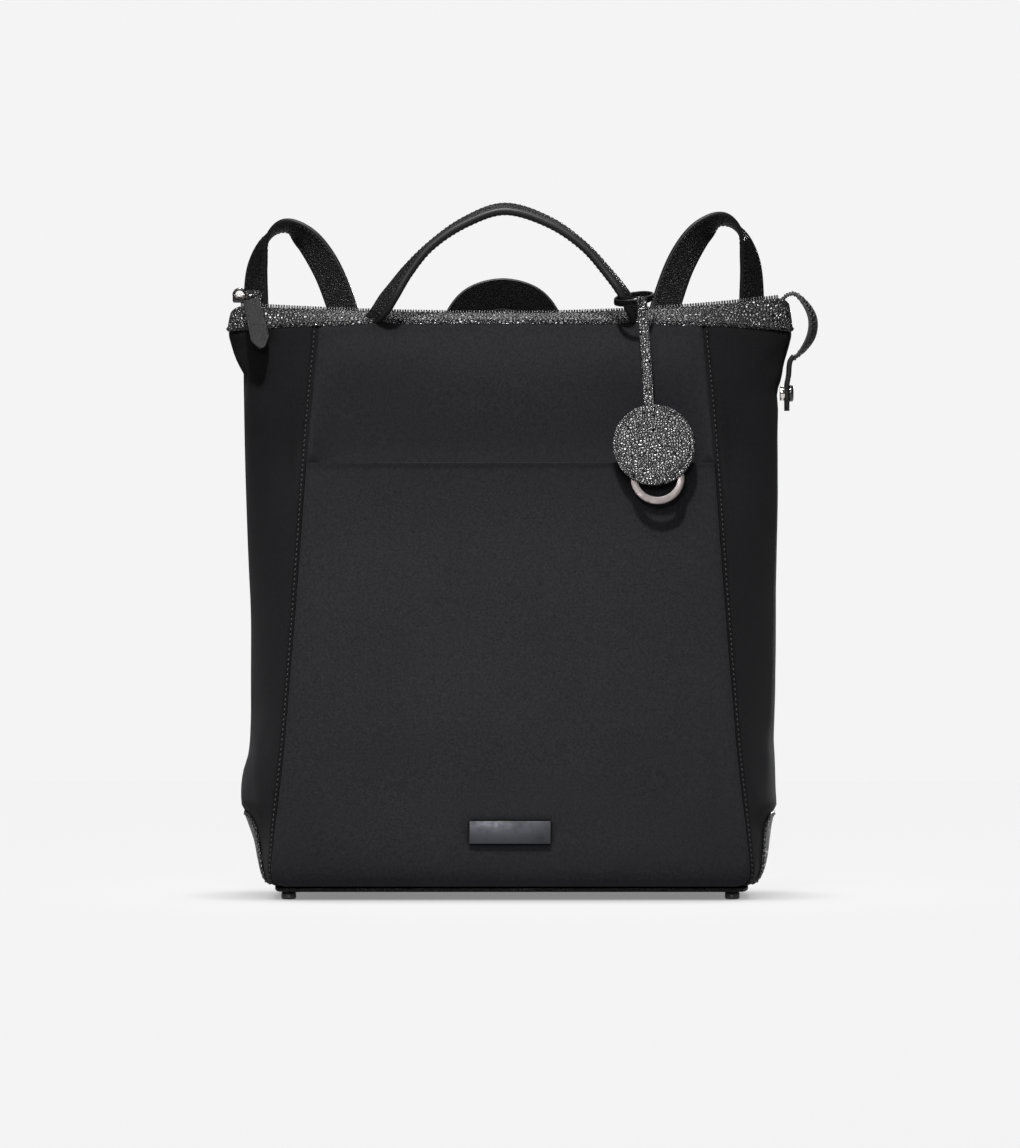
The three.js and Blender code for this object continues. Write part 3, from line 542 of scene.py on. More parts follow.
SEAM_ROLL = 4.2  # width of the roll beside a seam
SEAM_GROOVE = 2.6  # depth of the groove
TOP_GROOVE = 1.0  # the same along the band
FOOT_GROOVE = 0.8  # the same along the base
SEAM_TO_STITCH = 3.6  # the topstitching on the gusset, beside its seam
STITCH_GROOVE = 0.8  # how far the thread pulls the cloth in
STITCH_GROOVE_HALF = 0.6
TAUT_MARGIN = 14  # the folds fade out this near a seam, where the cloth is taut
PRESSED = 0.4  # how much thinner the sewn neoprene is
CLOTH_EDGE = 0.5
BODY_ROWS = 76
body_heights = [lerp(SECTIONS[0]["height"], 1, s)
                for s in graded(SEAM_HEIGHT * (1 - SECTIONS[0]["height"]), BODY_ROWS)]
body_sections = [section_at(height) for height in body_heights]


def body_point(x, y, height):
    return Vector((x, y, height * seam_z(x)))


def face_lift(point, left, right, low, high):
    """How far the front's or the back's outer face stands off its even shape."""
    inwards = roll(min(left, right), SEAM_ROLL, SEAM_GROOVE)
    inwards += roll(high, SEAM_ROLL, TOP_GROOVE) + roll(low, SEAM_ROLL, FOOT_GROOVE)
    taut = ease(min(left, right, high, low) / TAUT_MARGIN)
    return fold_height(point, FOLDS) * taut - inwards


def gusset_lift(point, left, right, low, high):
    """The same for a gusset, which the seam's thread pulls in."""
    from_thread = (min(left, right) - SEAM_TO_STITCH) / STITCH_GROOVE_HALF
    return (face_lift(point, left, right, low, high)
            - STITCH_GROOVE * math.exp(-from_thread ** 2))


FACE = {"curve": face_curve, "lift": face_lift, "columns": 52, "cloth": knitted_neoprene}
GUSSET = {"curve": gusset_curve, "lift": gusset_lift, "columns": 34, "cloth": shaded_gusset_neoprene}
PANELS = [
    # name, kind, which side, the size of the cloth it is cut from and what is left of that once
    # cut to shape, in metres
    {"name": "front_panel", "kind": FACE, "side": -1, "flat": (0.298, 0.375), "area": 0.0954},
    {"name": "side_panel_right", "kind": GUSSET, "side": 1, "flat": (0.176, 0.375), "area": 0.0441},
    {"name": "back_panel", "kind": FACE, "side": 1, "flat": (0.298, 0.375), "area": 0.0952},
    {"name": "side_panel_left", "kind": GUSSET, "side": -1, "flat": (0.176, 0.375), "area": 0.0434},
]
panel_rows = {}
for panel in PANELS:
    kind = panel["kind"]
    curves = [kind["curve"](row, panel["side"]) for row in body_sections]
    halfway = curves[len(curves) // 2]
    shares = graded(sum(math.dist(a, b) for a, b in zip(halfway, halfway[1:])), kind["columns"])
    even_rows = [[body_point(x, y, row["height"]) for x, y in resampled(curve, shares)]
                 for row, curve in zip(body_sections, curves)]
    panel_rows[panel["name"]] = shifted(even_rows, kind["lift"])
    piece = sheet_piece(panel["name"] + "_cloth", panel_rows[panel["name"]], kind["cloth"],
                        NEOPRENE - PRESSED, CLOTH_EDGE)
    dress(piece, panel["name"])


# Slip pocket
# A second, thinner sheet of the same neoprene over the lower three quarters of the front, caught
# in the side seams and the base. Its upper edge is cut clean and stands a little open.
POCKET_TOP = 270
POCKET_WALL = 2.2
POCKET_SLOT = 8
POCKET_ROLL = 4.6
POCKET_GROOVE = 2.2
MOUTH_LIP = 0.7  # the cut edge curls outwards a little
LIP_REACH = 2.4
POCKET_EDGE = 0.9
POCKET_ROWS = 54
POCKET_COLUMNS = 52
POCKET_FOLDS = [
    {"start": (-90, -58, 236), "end": (90, -58, 236), "width": 40, "height": -3.0},
    {"start": (-96, -66, 110), "end": (96, -66, 104), "width": 38, "height": 1.6},
    {"start": (-120, -66, 40), "end": (-96, -58, 190), "width": 22, "height": 0.9},
    {"start": (118, -64, 60), "end": (98, -56, 200), "width": 22, "height": 0.9},
]


def front_y(x, z):
    """How far forward the front panel's even shape lies."""
    row = section_at(z / seam_z(x))
    across = clamp(x / (row["seam"] * HALF_WIDTH), -1, 1)
    swell = FRONT_SWELL * math.sin(math.pi * row["height"])
    return -row["depth"] * BASE_DEPTH / 2 - swell * (1 - across * across)


def pocket_face_y(x, z):
    """How far forward the pocket's face lies, before its rolled edges."""
    across = clamp(x / (section_at(z / seam_z(x))["seam"] * HALF_WIDTH), -1, 1)
    stand = POCKET_SLOT * (z / POCKET_TOP) ** 3 * (1 - across ** 4)
    return front_y(x, z) - CLEARANCE - stand - POCKET_WALL


def pocket_lift(point, left, right, low, high):
    """How far the pocket's face stands off its even shape: its seams, folds and mouth."""
    inwards = roll(min(left, right), POCKET_ROLL, POCKET_GROOVE) + roll(low, SEAM_ROLL, FOOT_GROOVE)
    inwards -= MOUTH_LIP * math.exp(-(high / LIP_REACH) ** 2)
    taut = ease(min(left, right, low) / TAUT_MARGIN)
    return fold_height(point, POCKET_FOLDS) * taut - inwards


pocket_foot = SECTIONS[0]["height"] * SEAM_HEIGHT
pocket_rows = []
for share_up in graded(POCKET_TOP - pocket_foot, POCKET_ROWS):
    z = lerp(pocket_foot, POCKET_TOP, share_up)
    half = section_at(z / SEAM_HEIGHT)["seam"] * HALF_WIDTH - CLEARANCE / 2
    xs = [lerp(-half, half, share) for share in graded(2 * half, POCKET_COLUMNS)]
    pocket_rows.append([Vector((x, pocket_face_y(x, z), z)) for x in xs])
pocket = sheet_piece("slip_pocket", shifted(pocket_rows, pocket_lift), knitted_neoprene,
                     POCKET_WALL, POCKET_EDGE)
dress(pocket, "pocket_panel")


# Seam thread
# Bonded black polyester, topstitched beside each long seam on the gusset, which holds the seam's
# allowance flat. Each stitch is a short spindle pulled down at both ends.
STITCH_PITCH = 3.1
STITCH_LENGTH = 2.2
STITCH_RADIUS = 0.55
STITCH_SIDES = 5
STITCH_RINGS = [  # share of the length, share of the radius, and lift off the surface
    {"along": -0.5, "wide": 0.25, "lift": -0.35}, {"along": -0.26, "wide": 0.9, "lift": 0.25},
    {"along": 0.26, "wide": 0.9, "lift": 0.25}, {"along": 0.5, "wide": 0.25, "lift": -0.35},
]

# Bonded polyester filament, duller than the leather; the leather's own thread is waxed darker.
threads = {}
for name, colour in (("polyester_thread", 0x171718), ("waxed_thread", 0x151516)):
    threads[name], tree = new_material(name)
    set_surface(tree, {"Base Color": (*linear(colour), 1), "Roughness": 0.6,
                       "Specular IOR Level": 0.25})


def inset_line(rows, edge, inset):
    """Points and normals on a grid, at an even distance from its left, right, low or high edge."""
    lines, faces = rows, grid_normals(rows)
    if edge in ("low", "high"):
        lines, faces = list(zip(*lines)), list(zip(*faces))
    points = []
    for line, face in zip(lines, faces):
        order = list(range(len(line)))
        if edge in ("right", "high"):
            order.reverse()
        passed = 0.0
        for a, b in zip(order, order[1:]):
            step = (line[b] - line[a]).length
            if passed + step >= inset:
                t = (inset - passed) / step
                points.append((line[a].lerp(line[b], t), face[a].lerp(face[b], t).normalized()))
                break
            passed += step
    return points


def add_stitches(mesh, line, pitch=STITCH_PITCH, size=1.0, skip=0.0):
    """Adds stitches along a line of points and normals, leaving `skip` free at both ends."""
    lengths = [0.0]
    for (a, _), (b, _) in zip(line, line[1:]):
        lengths.append(lengths[-1] + (b - a).length)
    count = int((lengths[-1] - 2 * skip) / pitch)
    radius = STITCH_RADIUS * size
    k = 0
    for n in range(count):
        at = skip + (n + 0.5) * (lengths[-1] - 2 * skip) / count
        while k < len(line) - 2 and lengths[k + 1] < at:
            k += 1
        t = (at - lengths[k]) / max(lengths[k + 1] - lengths[k], 1e-9)
        centre = line[k][0].lerp(line[k + 1][0], t)
        out = line[k][1].lerp(line[k + 1][1], t).normalized()
        along = (line[k + 1][0] - line[k][0]).normalized()
        across = along.cross(out).normalized()
        rings = []
        for row in STITCH_RINGS:
            middle = centre + along * (row["along"] * STITCH_LENGTH * size)
            middle += out * (row["lift"] * size)
            ring = []
            for i in range(STITCH_SIDES):
                angle = 2 * math.pi * i / STITCH_SIDES
                spot = (middle + across * (math.cos(angle) * row["wide"] * radius)
                        + out * (math.sin(angle) * row["wide"] * radius))
                ring.append(mesh.verts.new(place(*spot)))
            rings.append(ring)
        for low, high in zip(rings, rings[1:]):
            for i in range(STITCH_SIDES):
                j = (i + 1) % STITCH_SIDES
                mesh.faces.new((low[i], low[j], high[j], high[i]))
        mesh.faces.new(reversed(rings[0]))
        mesh.faces.new(rings[-1])


def thread_object(name, stitches, thread="waxed_thread"):
    """A piece of thread from the stitches gathered in a mesh."""
    bmesh.ops.recalc_face_normals(stitches, faces=stitches.faces)
    mesh = bpy.data.meshes.new(name)
    stitches.to_mesh(mesh)
    stitches.free()
    piece = smooth_object(name, mesh, threads[thread])
    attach(piece, "root")


seam_stitches = bmesh.new()
for name in ("side_panel_right", "side_panel_left"):
    for edge in ("left", "right"):
        add_stitches(seam_stitches, inset_line(panel_rows[name], edge, SEAM_TO_STITCH), skip=3)
thread_object("gusset_seam_thread", seam_stitches, "polyester_thread")


# Leather top band
# Two strips of black pebbled cowhide, one each side of the zip, sewn to the neoprene below and to
# the zip's tape above. They run out to the bag's two ears, where they meet.
ZIP_STEP = 6.6
ZIP_RISE = {"left": 5.5, "right": 11}
SLOT_HALF = 4.8
SLOT_FLARE = 1.4
SLOT_SHARE = 0.8  # the most of its seam's distance from the middle that the zip's edge keeps
EAR_DIP = 3.5
EAR_DIP_REACH = 7.4
BAND_SWELL = 1.6
BAND_INSET = 0.015
BAND_LIFT = 0.5  # the folded edge of the leather stands on the neoprene
BAND_LENGTH = 410
BAND_HEIGHT = 21
BAND_COLUMNS = 110
BAND_ROWS = 6
BAND_RIPPLE = 0.5
BAND_LIP = {"lift": 0.9, "at": 1.6, "half": 0.9}  # the leather folded under along its lower edge
BAND_SEAMS = [  # each long edge's roll, its depth, and how far in its thread runs
    {"edge": "low", "roll": 1.8, "depth": 1.1, "thread": 2.6},
    {"edge": "high", "roll": 1.4, "depth": 0.8, "thread": 2.2},
]
CUT_EDGE = 0.4  # how far the cut edges of the leather are rounded

WANDER = 0.5  # how far the pebbles' grid is bent, as a share of a pebble
PORE = 0.5  # size of the fine creases on the pebbles
PORE_HEIGHT = 0.06


def leather_material(name, crease_shade, top, pebble, roughness, grain, shine):
    """Grained leather: painted shade in the creases between the pebbles, its colour on them, their
    size, gloss and depth.
    """
    material, tree = new_material(name)
    local = add_node(tree, "ShaderNodeTexCoord")
    wander = own_noise(tree, 3 * pebble, 1.0)
    bent = add_node(tree, "ShaderNodeVectorMath", {"operation": "MULTIPLY_ADD",
                                                   1: (WANDER * pebble * MM,) * 3},
                    {0: wander.outputs[1], 2: local.outputs["Object"]})
    pebbles = add_node(tree, "ShaderNodeTexVoronoi", {
        "feature": "DISTANCE_TO_EDGE", "Scale": 1 / (pebble * MM)}, {"Vector": bent.outputs[0]})
    dome = add_node(tree, "ShaderNodeMapRange", {"interpolation_type": "SMOOTHSTEP",
                                                 1: -0.12, 2: 0.36, 3: -1.0, 4: 1.0},
                    {0: pebbles.outputs["Distance"]})
    height = add_node(tree, "ShaderNodeMath", {"operation": "MULTIPLY_ADD", 1: PORE_HEIGHT},
                      {0: own_noise(tree, PORE, 1.0).outputs[0], 2: dome.outputs[0]})
    crown = add_node(tree, "ShaderNodeMapRange", {"interpolation_type": "SMOOTHSTEP",
                                                  1: 0.02, 2: 0.17, 3: 0.0, 4: 1.0},
                     {0: pebbles.outputs["Distance"]})
    # Painted shade: the creases between the pebbles take the darker colour, for the shade that falls
    # there.
    tone = colour_mix(tree, linear(crease_shade), linear(top), crown.outputs[0])
    gloss = add_node(tree, "ShaderNodeMapRange", {1: 0.0, 2: 1.0, 3: roughness + 0.2, 4: roughness},
                     {0: crown.outputs[0]})
    sheen = add_node(tree, "ShaderNodeMath", {"operation": "MULTIPLY", 1: shine},
                     {0: crown.outputs[0]})
    set_surface(tree, {}, {
        "Base Color": tone.outputs[2], "Specular IOR Level": sheen.outputs[0],
        "Roughness": gloss.outputs[0],
        "Normal": bump_of(tree, height.outputs[0], 0.9, grain).outputs[0]})
    return material


# Full-grain cowhide, tumbled and dyed through: round pebbles about 2 mm across with fine creases
# between, an even sheen on the pebbles' tops, and a duller floor darkened with painted shade.
pebbled_cowhide = leather_material("pebbled_cowhide", crease_shade=0x0C0C0D, top=0x1E1E1F, pebble=2.0,
                                   roughness=0.42, grain=0.4, shine=1.1)
# The straps, the handle and the base are cut from a finer grained, drier cowhide.
strap_cowhide = leather_material("strap_cowhide", crease_shade=0x0C0C0D, top=0x161617, pebble=1.3,
                                 roughness=0.45, grain=0.25, shine=0.14)


def zip_z(x):
    """Height of the leather's edge along the zip."""
    rise = ZIP_RISE["left" if x < 0 else "right"]
    return SEAM_HEIGHT + ZIP_STEP + rise * end_share(x) ** 2


def band_edge(x, y):
    """Where the band's edge at the zip lies, above a place on its lower seam."""
    inner_x = x * (1 - BAND_INSET)
    slot = SLOT_HALF + SLOT_FLARE * end_share(x) ** 4
    inner_y = math.copysign(min(slot, abs(y) * SLOT_SHARE), y)
    dip = EAR_DIP * ease(1 - abs(y) / EAR_DIP_REACH)
    return Vector((inner_x, inner_y, zip_z(inner_x) - dip))


def band_lift(point, left, right, low, high):
    """How far the band's face stands off its even shape: its fold, its rolls and a ripple."""
    ripple = BAND_RIPPLE * noise.noise(Vector((point.x * 0.05, point.y * 0.2, 3.7)))
    lift = BAND_LIFT + ripple * ease(min(low, high) / 6)
    lift += BAND_LIP["lift"] * math.exp(-((low - BAND_LIP["at"]) / BAND_LIP["half"]) ** 2)
    rolls = (roll(away, seam["roll"], seam["depth"]) for away, seam in zip((low, high), BAND_SEAMS))
    return lift - sum(rolls)


top_row = section_at(1)
ear = GUSSET_STEPS // 2  # the gusset curve's middle point, where the two bands meet
band_stitches = bmesh.new()
for name, side in (("top_band_front", -1), ("top_band_back", 1)):
    band_curve = (gusset_curve(top_row, side)[ear:] + face_curve(top_row, side)[1:]
                  + gusset_curve(top_row, -side)[1:ear + 1])
    feet = [Vector((x, y, seam_z(x)))
            for x, y in resampled(band_curve, graded(BAND_LENGTH, BAND_COLUMNS))]
    rows = []
    for share in graded(BAND_HEIGHT, BAND_ROWS):
        swell = Vector((0, 0, BAND_SWELL * math.sin(math.pi * share)))
        rows.append([foot.lerp(band_edge(foot.x, foot.y), share) + swell for foot in feet])
    rows = shifted(rows, band_lift)
    piece = sheet_piece(name + "_leather", rows, pebbled_cowhide, LEATHER, CUT_EDGE)
    dress(piece, name)
    for seam in BAND_SEAMS:
        add_stitches(band_stitches, inset_line(rows, seam["edge"], seam["thread"]), size=0.85, skip=4)
thread_object("band_thread", band_stitches)


# Base and corner patches
# A board wrapped in leather closes the bag below, and a curved patch of pebbled leather is sewn
# over the foot of each gusset, where the bag is set down and rubbed.
BASE_THICKNESS = 2.6
BASE_CORNERS = 120
base_row = SECTIONS[0]
base_curve = (face_curve(base_row, -1) + gusset_curve(base_row, 1)[1:] + face_curve(base_row, 1)[1:]
              + gusset_curve(base_row, -1)[1:])
base_inset = 1 - LEATHER / HALF_WIDTH
base_outline = resampled(base_curve, [i / BASE_CORNERS for i in range(BASE_CORNERS)])
base_mesh = bpy.data.meshes.new("leather_base")
base_mesh.from_pydata([place(x * base_inset, y * base_inset, BASE_TOP - BASE_THICKNESS)
                       for x, y in base_outline], [], [tuple(reversed(range(BASE_CORNERS)))])
leather_base = smooth_object("leather_base", base_mesh, strap_cowhide)
apply_modifier(leather_base, "SOLIDIFY", thickness=BASE_THICKNESS * MM, offset=-1)
round_edges(leather_base, 0.8)
leather_base.data.shade_smooth()
dress(leather_base, "base_panel")

PATCH_REACH = 0.30  # share of the gusset's half turn that the patch leaves free at each seam
PATCH_FOOT = 8.4
PATCH_CORNER = 13  # how much lower the patch's upper edge ends at its front and back
PATCH_LENGTHS = {"up": 46, "round": 92}
PATCH_ROWS = 14
PATCH_COLUMNS = 30
PATCH_MARGIN = 0.4
PATCH_LIFT = 0.2  # the patch's face stands off the CAD solid's
PATCH_EDGE = {"roll": 1.6, "depth": 0.9, "thread": 2.4}
patch_stitches = bmesh.new()
for side, name in ((1, "base_corner_right"), (-1, "base_corner_left")):
    rows = []
    for v in graded(PATCH_LENGTHS["up"], PATCH_ROWS):
        row = []
        for u in graded(PATCH_LENGTHS["round"], PATCH_COLUMNS):
            across = 2 * u - 1
            top = PATCH_HEIGHT - PATCH_MARGIN - PATCH_CORNER * abs(across) ** 7
            z = lerp(PATCH_FOOT, top, v)
            section = section_at(z / SEAM_HEIGHT)
            reach = section["right" if side > 0 else "left"] * HALF_WIDTH - PATCH_LIFT
            angle = math.pi * lerp(PATCH_REACH, 1 - PATCH_REACH, u)
            bow = math.sin(angle) ** (2 * section["round"])
            x = lerp(section["seam"] * HALF_WIDTH, reach, bow)
            y = -section["depth"] * BASE_DEPTH / 2 * math.cos(angle)
            row.append(Vector((side * x, side * y, z)))
        rows.append(row)
    rows = shifted(rows, lambda point, *away: PATCH_LIFT - roll(min(away), PATCH_EDGE["roll"],
                                                                PATCH_EDGE["depth"]))
    piece = sheet_piece(name + "_leather", rows, pebbled_cowhide, LEATHER, CUT_EDGE)
    dress(piece, name)
    for edge in ("left", "right", "high"):
        add_stitches(patch_stitches, inset_line(rows, edge, PATCH_EDGE["thread"]), size=0.8, skip=3)
thread_object("patch_thread", patch_stitches)


# Feet
# Four moulded feet of matte black nylon, riveted through the base board, domed below.
nylon, tree = new_material("moulded_nylon")
skin_bump = bump_of(tree, own_noise(tree, 0.5).outputs[0], 0.3, 0.05)
set_surface(tree, {"Base Color": (*linear(0x121213), 1), "Roughness": 0.45},
            {"Normal": skin_bump.outputs[0]})

FOOT_ROUND = 1.3
ROUND_SIDES = 40  # of each foot and each half of the snap
for end in ("front", "back"):
    for side in ("left", "right"):
        low, high = (Vector(corner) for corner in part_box(f"foot_{end}_{side}"))
        bpy.ops.object.select_all(action="DESELECT")
        bpy.ops.mesh.primitive_cylinder_add(vertices=ROUND_SIDES, radius=(high.x - low.x) / 2,
                                            depth=high.z - low.z, location=(low + high) / 2)
        foot = bpy.context.object
        foot.name = f"nylon_foot_{end}_{side}"
        bpy.ops.object.transform_apply(location=True, rotation=True, scale=True)
        round_edges(foot, FOOT_ROUND, 5)
        foot.data.shade_smooth()
        foot.data.materials.append(nylon)
        dress(foot, f"foot_{end}_{side}")


# Zip
# A metal zip on black twill tape. Its two rows of teeth interlock along the middle of the slot
# between the bands, and its free end leaves the bag at the right, bends down and is snapped on.
TAPE_DEPTH = 2.4  # the tape's upper face below the leather's edge
TAPE_THICKNESS = 0.9
TAPE_SIDE_DROP = 0.7
TAPE_SHARES = (-1, -0.6, -0.25, 0.25, 0.6, 1)  # of the tape's half width, across it
TAPE_STEPS = 60
CHAIN_STEPS = 120
CHAIN_LIFT = 0.8  # the middle of the teeth above the leather's edge
TOOTH_PITCH = 3.3
TOOTH_WIDTH = 1.15
TOOTH_LENGTH = 3.1
TOOTH_HEIGHT = 2.7
TOOTH_BEVEL = 0.32
TOOTH_REACH = 0.55  # how far a tooth's head passes the middle
TAIL_REACH = 21
TAIL_WIDTH = 8.2
TAIL_THICKNESS = 1.2
SNAP_Z = 314

# Woven polyester twill, black, with fine slanting ribs 0.6 mm apart.
TAPE_BLACK = 0x161617
TAPE_GREY = 0x262628
TWILL = 0.6
woven_twill, tree = new_material("woven_twill")
local = add_node(tree, "ShaderNodeTexCoord")
ribs = add_node(tree, "ShaderNodeTexWave", {
    "wave_type": "BANDS", "bands_direction": "DIAGONAL", "Scale": math.pi / (10 * TWILL * MM),
    "Distortion": 0.6,
}, {"Vector": local.outputs["Object"]})
rib_bump = bump_of(tree, ribs.outputs[1], 0.7, 0.12)
rib_tone = colour_mix(tree, linear(TAPE_BLACK), linear(TAPE_GREY), ribs.outputs[1])
set_surface(tree, {"Roughness": 0.75, "Sheen Weight": 0.1},
            {"Base Color": rib_tone.outputs[2], "Normal": rib_bump.outputs[0]})


def metal_material(name, colour, roughness, mark=0.4, scratch=0.06):
    """A plated metal: its colour, how polished it is, and fine wear marks of a size and depth."""
    material, tree = new_material(name)
    marks = own_noise(tree, mark, 5.0)
    gloss = add_node(tree, "ShaderNodeMapRange", {
        1: 0.3, 2: 0.7, 3: roughness * 0.8, 4: roughness * 1.35,
    }, {0: own_noise(tree, 6).outputs[0]})
    set_surface(tree, {"Base Color": (*linear(colour), 1), "Metallic": 1.0}, {
        "Roughness": gloss.outputs[0],
        "Normal": bump_of(tree, marks.outputs[0], 0.25, scratch).outputs[0]})
    return material


# Zinc teeth plated in black nickel, tumbled, so their edges catch the light. The free end's teeth get
# a darker, rougher copy of it: painted shade, so that they hold less light.
black_nickel = metal_material("black_nickel", 0x6E6D6E, 0.28)
shaded_nickel = metal_material("shaded_black_nickel", 0x3C3B3C, 0.42)


def smooth_path(rows, steps):
    """Places, directions and turns along a centripetal curve through rows of x, y, z and turn."""
    knots = [Vector(row[:3]) for row in rows]
    knots = [2 * knots[0] - knots[1], *knots, 2 * knots[-1] - knots[-2]]
    frames = []
    for i in range(steps + 1):
        at = i / steps * (len(rows) - 1)
        k = min(int(at), len(rows) - 2)
        t = at - k
        p0, p1, p2, p3 = knots[k:k + 4]
        d0, d1, d2 = (max((b - a).length ** 0.5, 1e-6) for a, b in ((p0, p1), (p1, p2), (p2, p3)))
        start = ((p1 - p0) / d0 - (p2 - p0) / (d0 + d1) + (p2 - p1) / d1) * d1
        end = ((p2 - p1) / d1 - (p3 - p1) / (d1 + d2) + (p3 - p2) / d2) * d1
        centre = ((2 * t ** 3 - 3 * t ** 2 + 1) * p1 + (t ** 3 - 2 * t ** 2 + t) * start
                  + (3 * t ** 2 - 2 * t ** 3) * p2 + (t ** 3 - t ** 2) * end)
        along = ((6 * t ** 2 - 6 * t) * p1 + (3 * t ** 2 - 4 * t + 1) * start
                 + (6 * t - 6 * t ** 2) * p2 + (3 * t ** 2 - 2 * t) * end).normalized()
        turns = [rows[int(clamp(k + n, 0, len(rows) - 1))][3] for n in (-1, 0, 1, 2)]
        turn = math.radians(turns[1] + t * (turns[2] - turns[0]) / 2
                            + t * t * (turns[0] - 2.5 * turns[1] + 2 * turns[2] - 0.5 * turns[3])
                            + t ** 3 * (1.5 * (turns[1] - turns[2]) + (turns[3] - turns[0]) / 2))
        in_plane = along.cross(Vector((0, 1, 0))).normalized()
        out_of_plane = in_plane.cross(along).normalized()
        across = in_plane * math.cos(turn) + out_of_plane * math.sin(turn)
        frames.append({"centre": centre, "along": along, "across": across,
                       "normal": across.cross(along).normalized(), "share": i / steps})
    return frames


FACE_POINTS = 8  # across a strap's face
EDGE_POINTS = 5  # round its cut edge
EDGE_ROUND = 0.42  # how far in the cut edge is rounded, as a share of the thickness


def strap_profile(width, thickness, crown, groove=0.0):
    """A strap's cross-section, anticlockwise, as (across, off the face, is a cut edge)."""
    turn = thickness * EDGE_ROUND
    face = []
    for i in range(FACE_POINTS + 1):
        share = 2 * i / FACE_POINTS - 1
        dip = groove if i in (1, FACE_POINTS - 1) else 0
        face.append((share * (width / 2 - turn),
                     thickness / 2 + crown * (1 - share * share) - dip, False))
    edge = []
    for i in range(1, EDGE_POINTS + 1):
        angle = math.pi * i / (EDGE_POINTS + 1)
        edge.append((width / 2 - turn + turn * math.sin(angle), thickness / 2 * math.cos(angle), True))
    return face + edge + [(-a, -b, cut) for a, b, cut in face + edge]


def face_outwards(mesh, weld=0):
    """Turns a closed mesh's faces outwards, once corners nearer than `weld` are joined."""
    build = bmesh.new()
    build.from_mesh(mesh)
    if weld:
        bmesh.ops.remove_doubles(build, verts=build.verts, dist=weld)
    bmesh.ops.recalc_face_normals(build, faces=build.faces)
    build.to_mesh(mesh)
    build.free()


def even_width(share):
    return 1


def strap_piece(name, frames, profile, materials, width_at=even_width):
    """A strap along frames. Its second material goes on the cut edges."""
    points = []
    for frame_here in frames:
        scale = width_at(frame_here["share"])
        for a, b, _ in profile:
            spot = (frame_here["centre"] + frame_here["across"] * (a * scale)
                    + frame_here["normal"] * b)
            points.append(place(*spot))
    size = len(profile)
    faces = []
    cut = []
    for r in range(len(frames) - 1):
        for i in range(size):
            j = (i + 1) % size
            faces.append((r * size + i, r * size + j, (r + 1) * size + j, (r + 1) * size + i))
            cut.append(profile[i][2] or profile[j][2])
    faces.append(tuple(reversed(range(size))))
    faces.append(tuple(range((len(frames) - 1) * size, len(frames) * size)))
    cut += [True, True]
    mesh = bpy.data.meshes.new(name)
    mesh.from_pydata(points, [], faces)
    for face, is_cut in zip(mesh.polygons, cut):
        face.material_index = 1 if is_cut else 0
    face_outwards(mesh)
    return smooth_object(name, mesh, *materials)


def copies(name, model, matrices, material):
    """One piece of many flat-faced copies of a modelled one, each at its own matrix."""
    points = []
    faces = []
    for matrix in matrices:
        start = len(points)
        points += [matrix @ vertex.co for vertex in model.data.vertices]
        faces += [tuple(start + v for v in face.vertices) for face in model.data.polygons]
    mesh = bpy.data.meshes.new(name)
    mesh.from_pydata(points, [], faces)
    piece = smooth_object(name, mesh, material)
    mesh.shade_flat()
    return piece


def frame_matrix(centre, along, across, normal):
    """A matrix that puts a model's x, y and z along three directions at a place in metres."""
    matrix = Matrix((along, across, normal)).transposed().to_4x4()
    matrix.translation = place(*centre)
    return matrix


chain_low, chain_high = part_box("zip_chain")
chain_left = (chain_low[0] - BAG_X) / MM
chain_right = (chain_high[0] - BAG_X) / MM
tape_rows = []
for share in TAPE_SHARES:
    row = []
    for i in range(TAPE_STEPS + 1):
        x = lerp(chain_left, chain_right, i / TAPE_STEPS)
        half = SLOT_HALF + SLOT_FLARE * end_share(x) ** 4 - CLEARANCE
        z = zip_z(x) - TAPE_DEPTH - TAPE_SIDE_DROP * abs(share)
        row.append(Vector((x, share * half, z)))
    tape_rows.append(row)
zip_tape = sheet_piece("zip_twill", tape_rows, woven_twill, TAPE_THICKNESS, 0.2)
dress(zip_tape, "zip_tape")

bpy.ops.object.select_all(action="DESELECT")
bpy.ops.mesh.primitive_cube_add(size=1, location=(0, 0, 0))
tooth = bpy.context.object
tooth.scale = (TOOTH_WIDTH * MM, TOOTH_LENGTH * MM, TOOTH_HEIGHT * MM)
bpy.ops.object.transform_apply(location=True, rotation=True, scale=True)
apply_modifier(tooth, "BEVEL", width=TOOTH_BEVEL * MM, segments=1, limit_method="NONE")

# The zip's free end, in shares of its reach out and of its drop to the snap, and its turn in
# degrees from edge on.
tail_start = zip_z(chain_right) - 1.6
tail_crest = zip_z(chain_right) + 2.8
tail_drop = tail_crest - SNAP_Z
TAIL_BOW = [
    {"out": 0.16, "down": 0.03, "turn": 88},
    {"out": 0.42, "down": 0, "turn": 80},
    {"out": 0.76, "down": 0.1, "turn": 62},
    {"out": 0.98, "down": 0.25, "turn": 46},
    {"out": 0.95, "down": 0.41, "turn": 46},
    {"out": 0.72, "down": 0.55, "turn": 64},
    {"out": 0.4, "down": 0.66, "turn": 86},
]
tail_rows = [(chain_right + 0.3, 0, tail_start, 90), (chain_right + 1.5, 0, tail_start + 0.2, 90)]
tail_rows += [(chain_right + b["out"] * TAIL_REACH, 0, tail_crest - b["down"] * tail_drop, b["turn"])
              for b in TAIL_BOW]
tail_frames = smooth_path(tail_rows, 90)


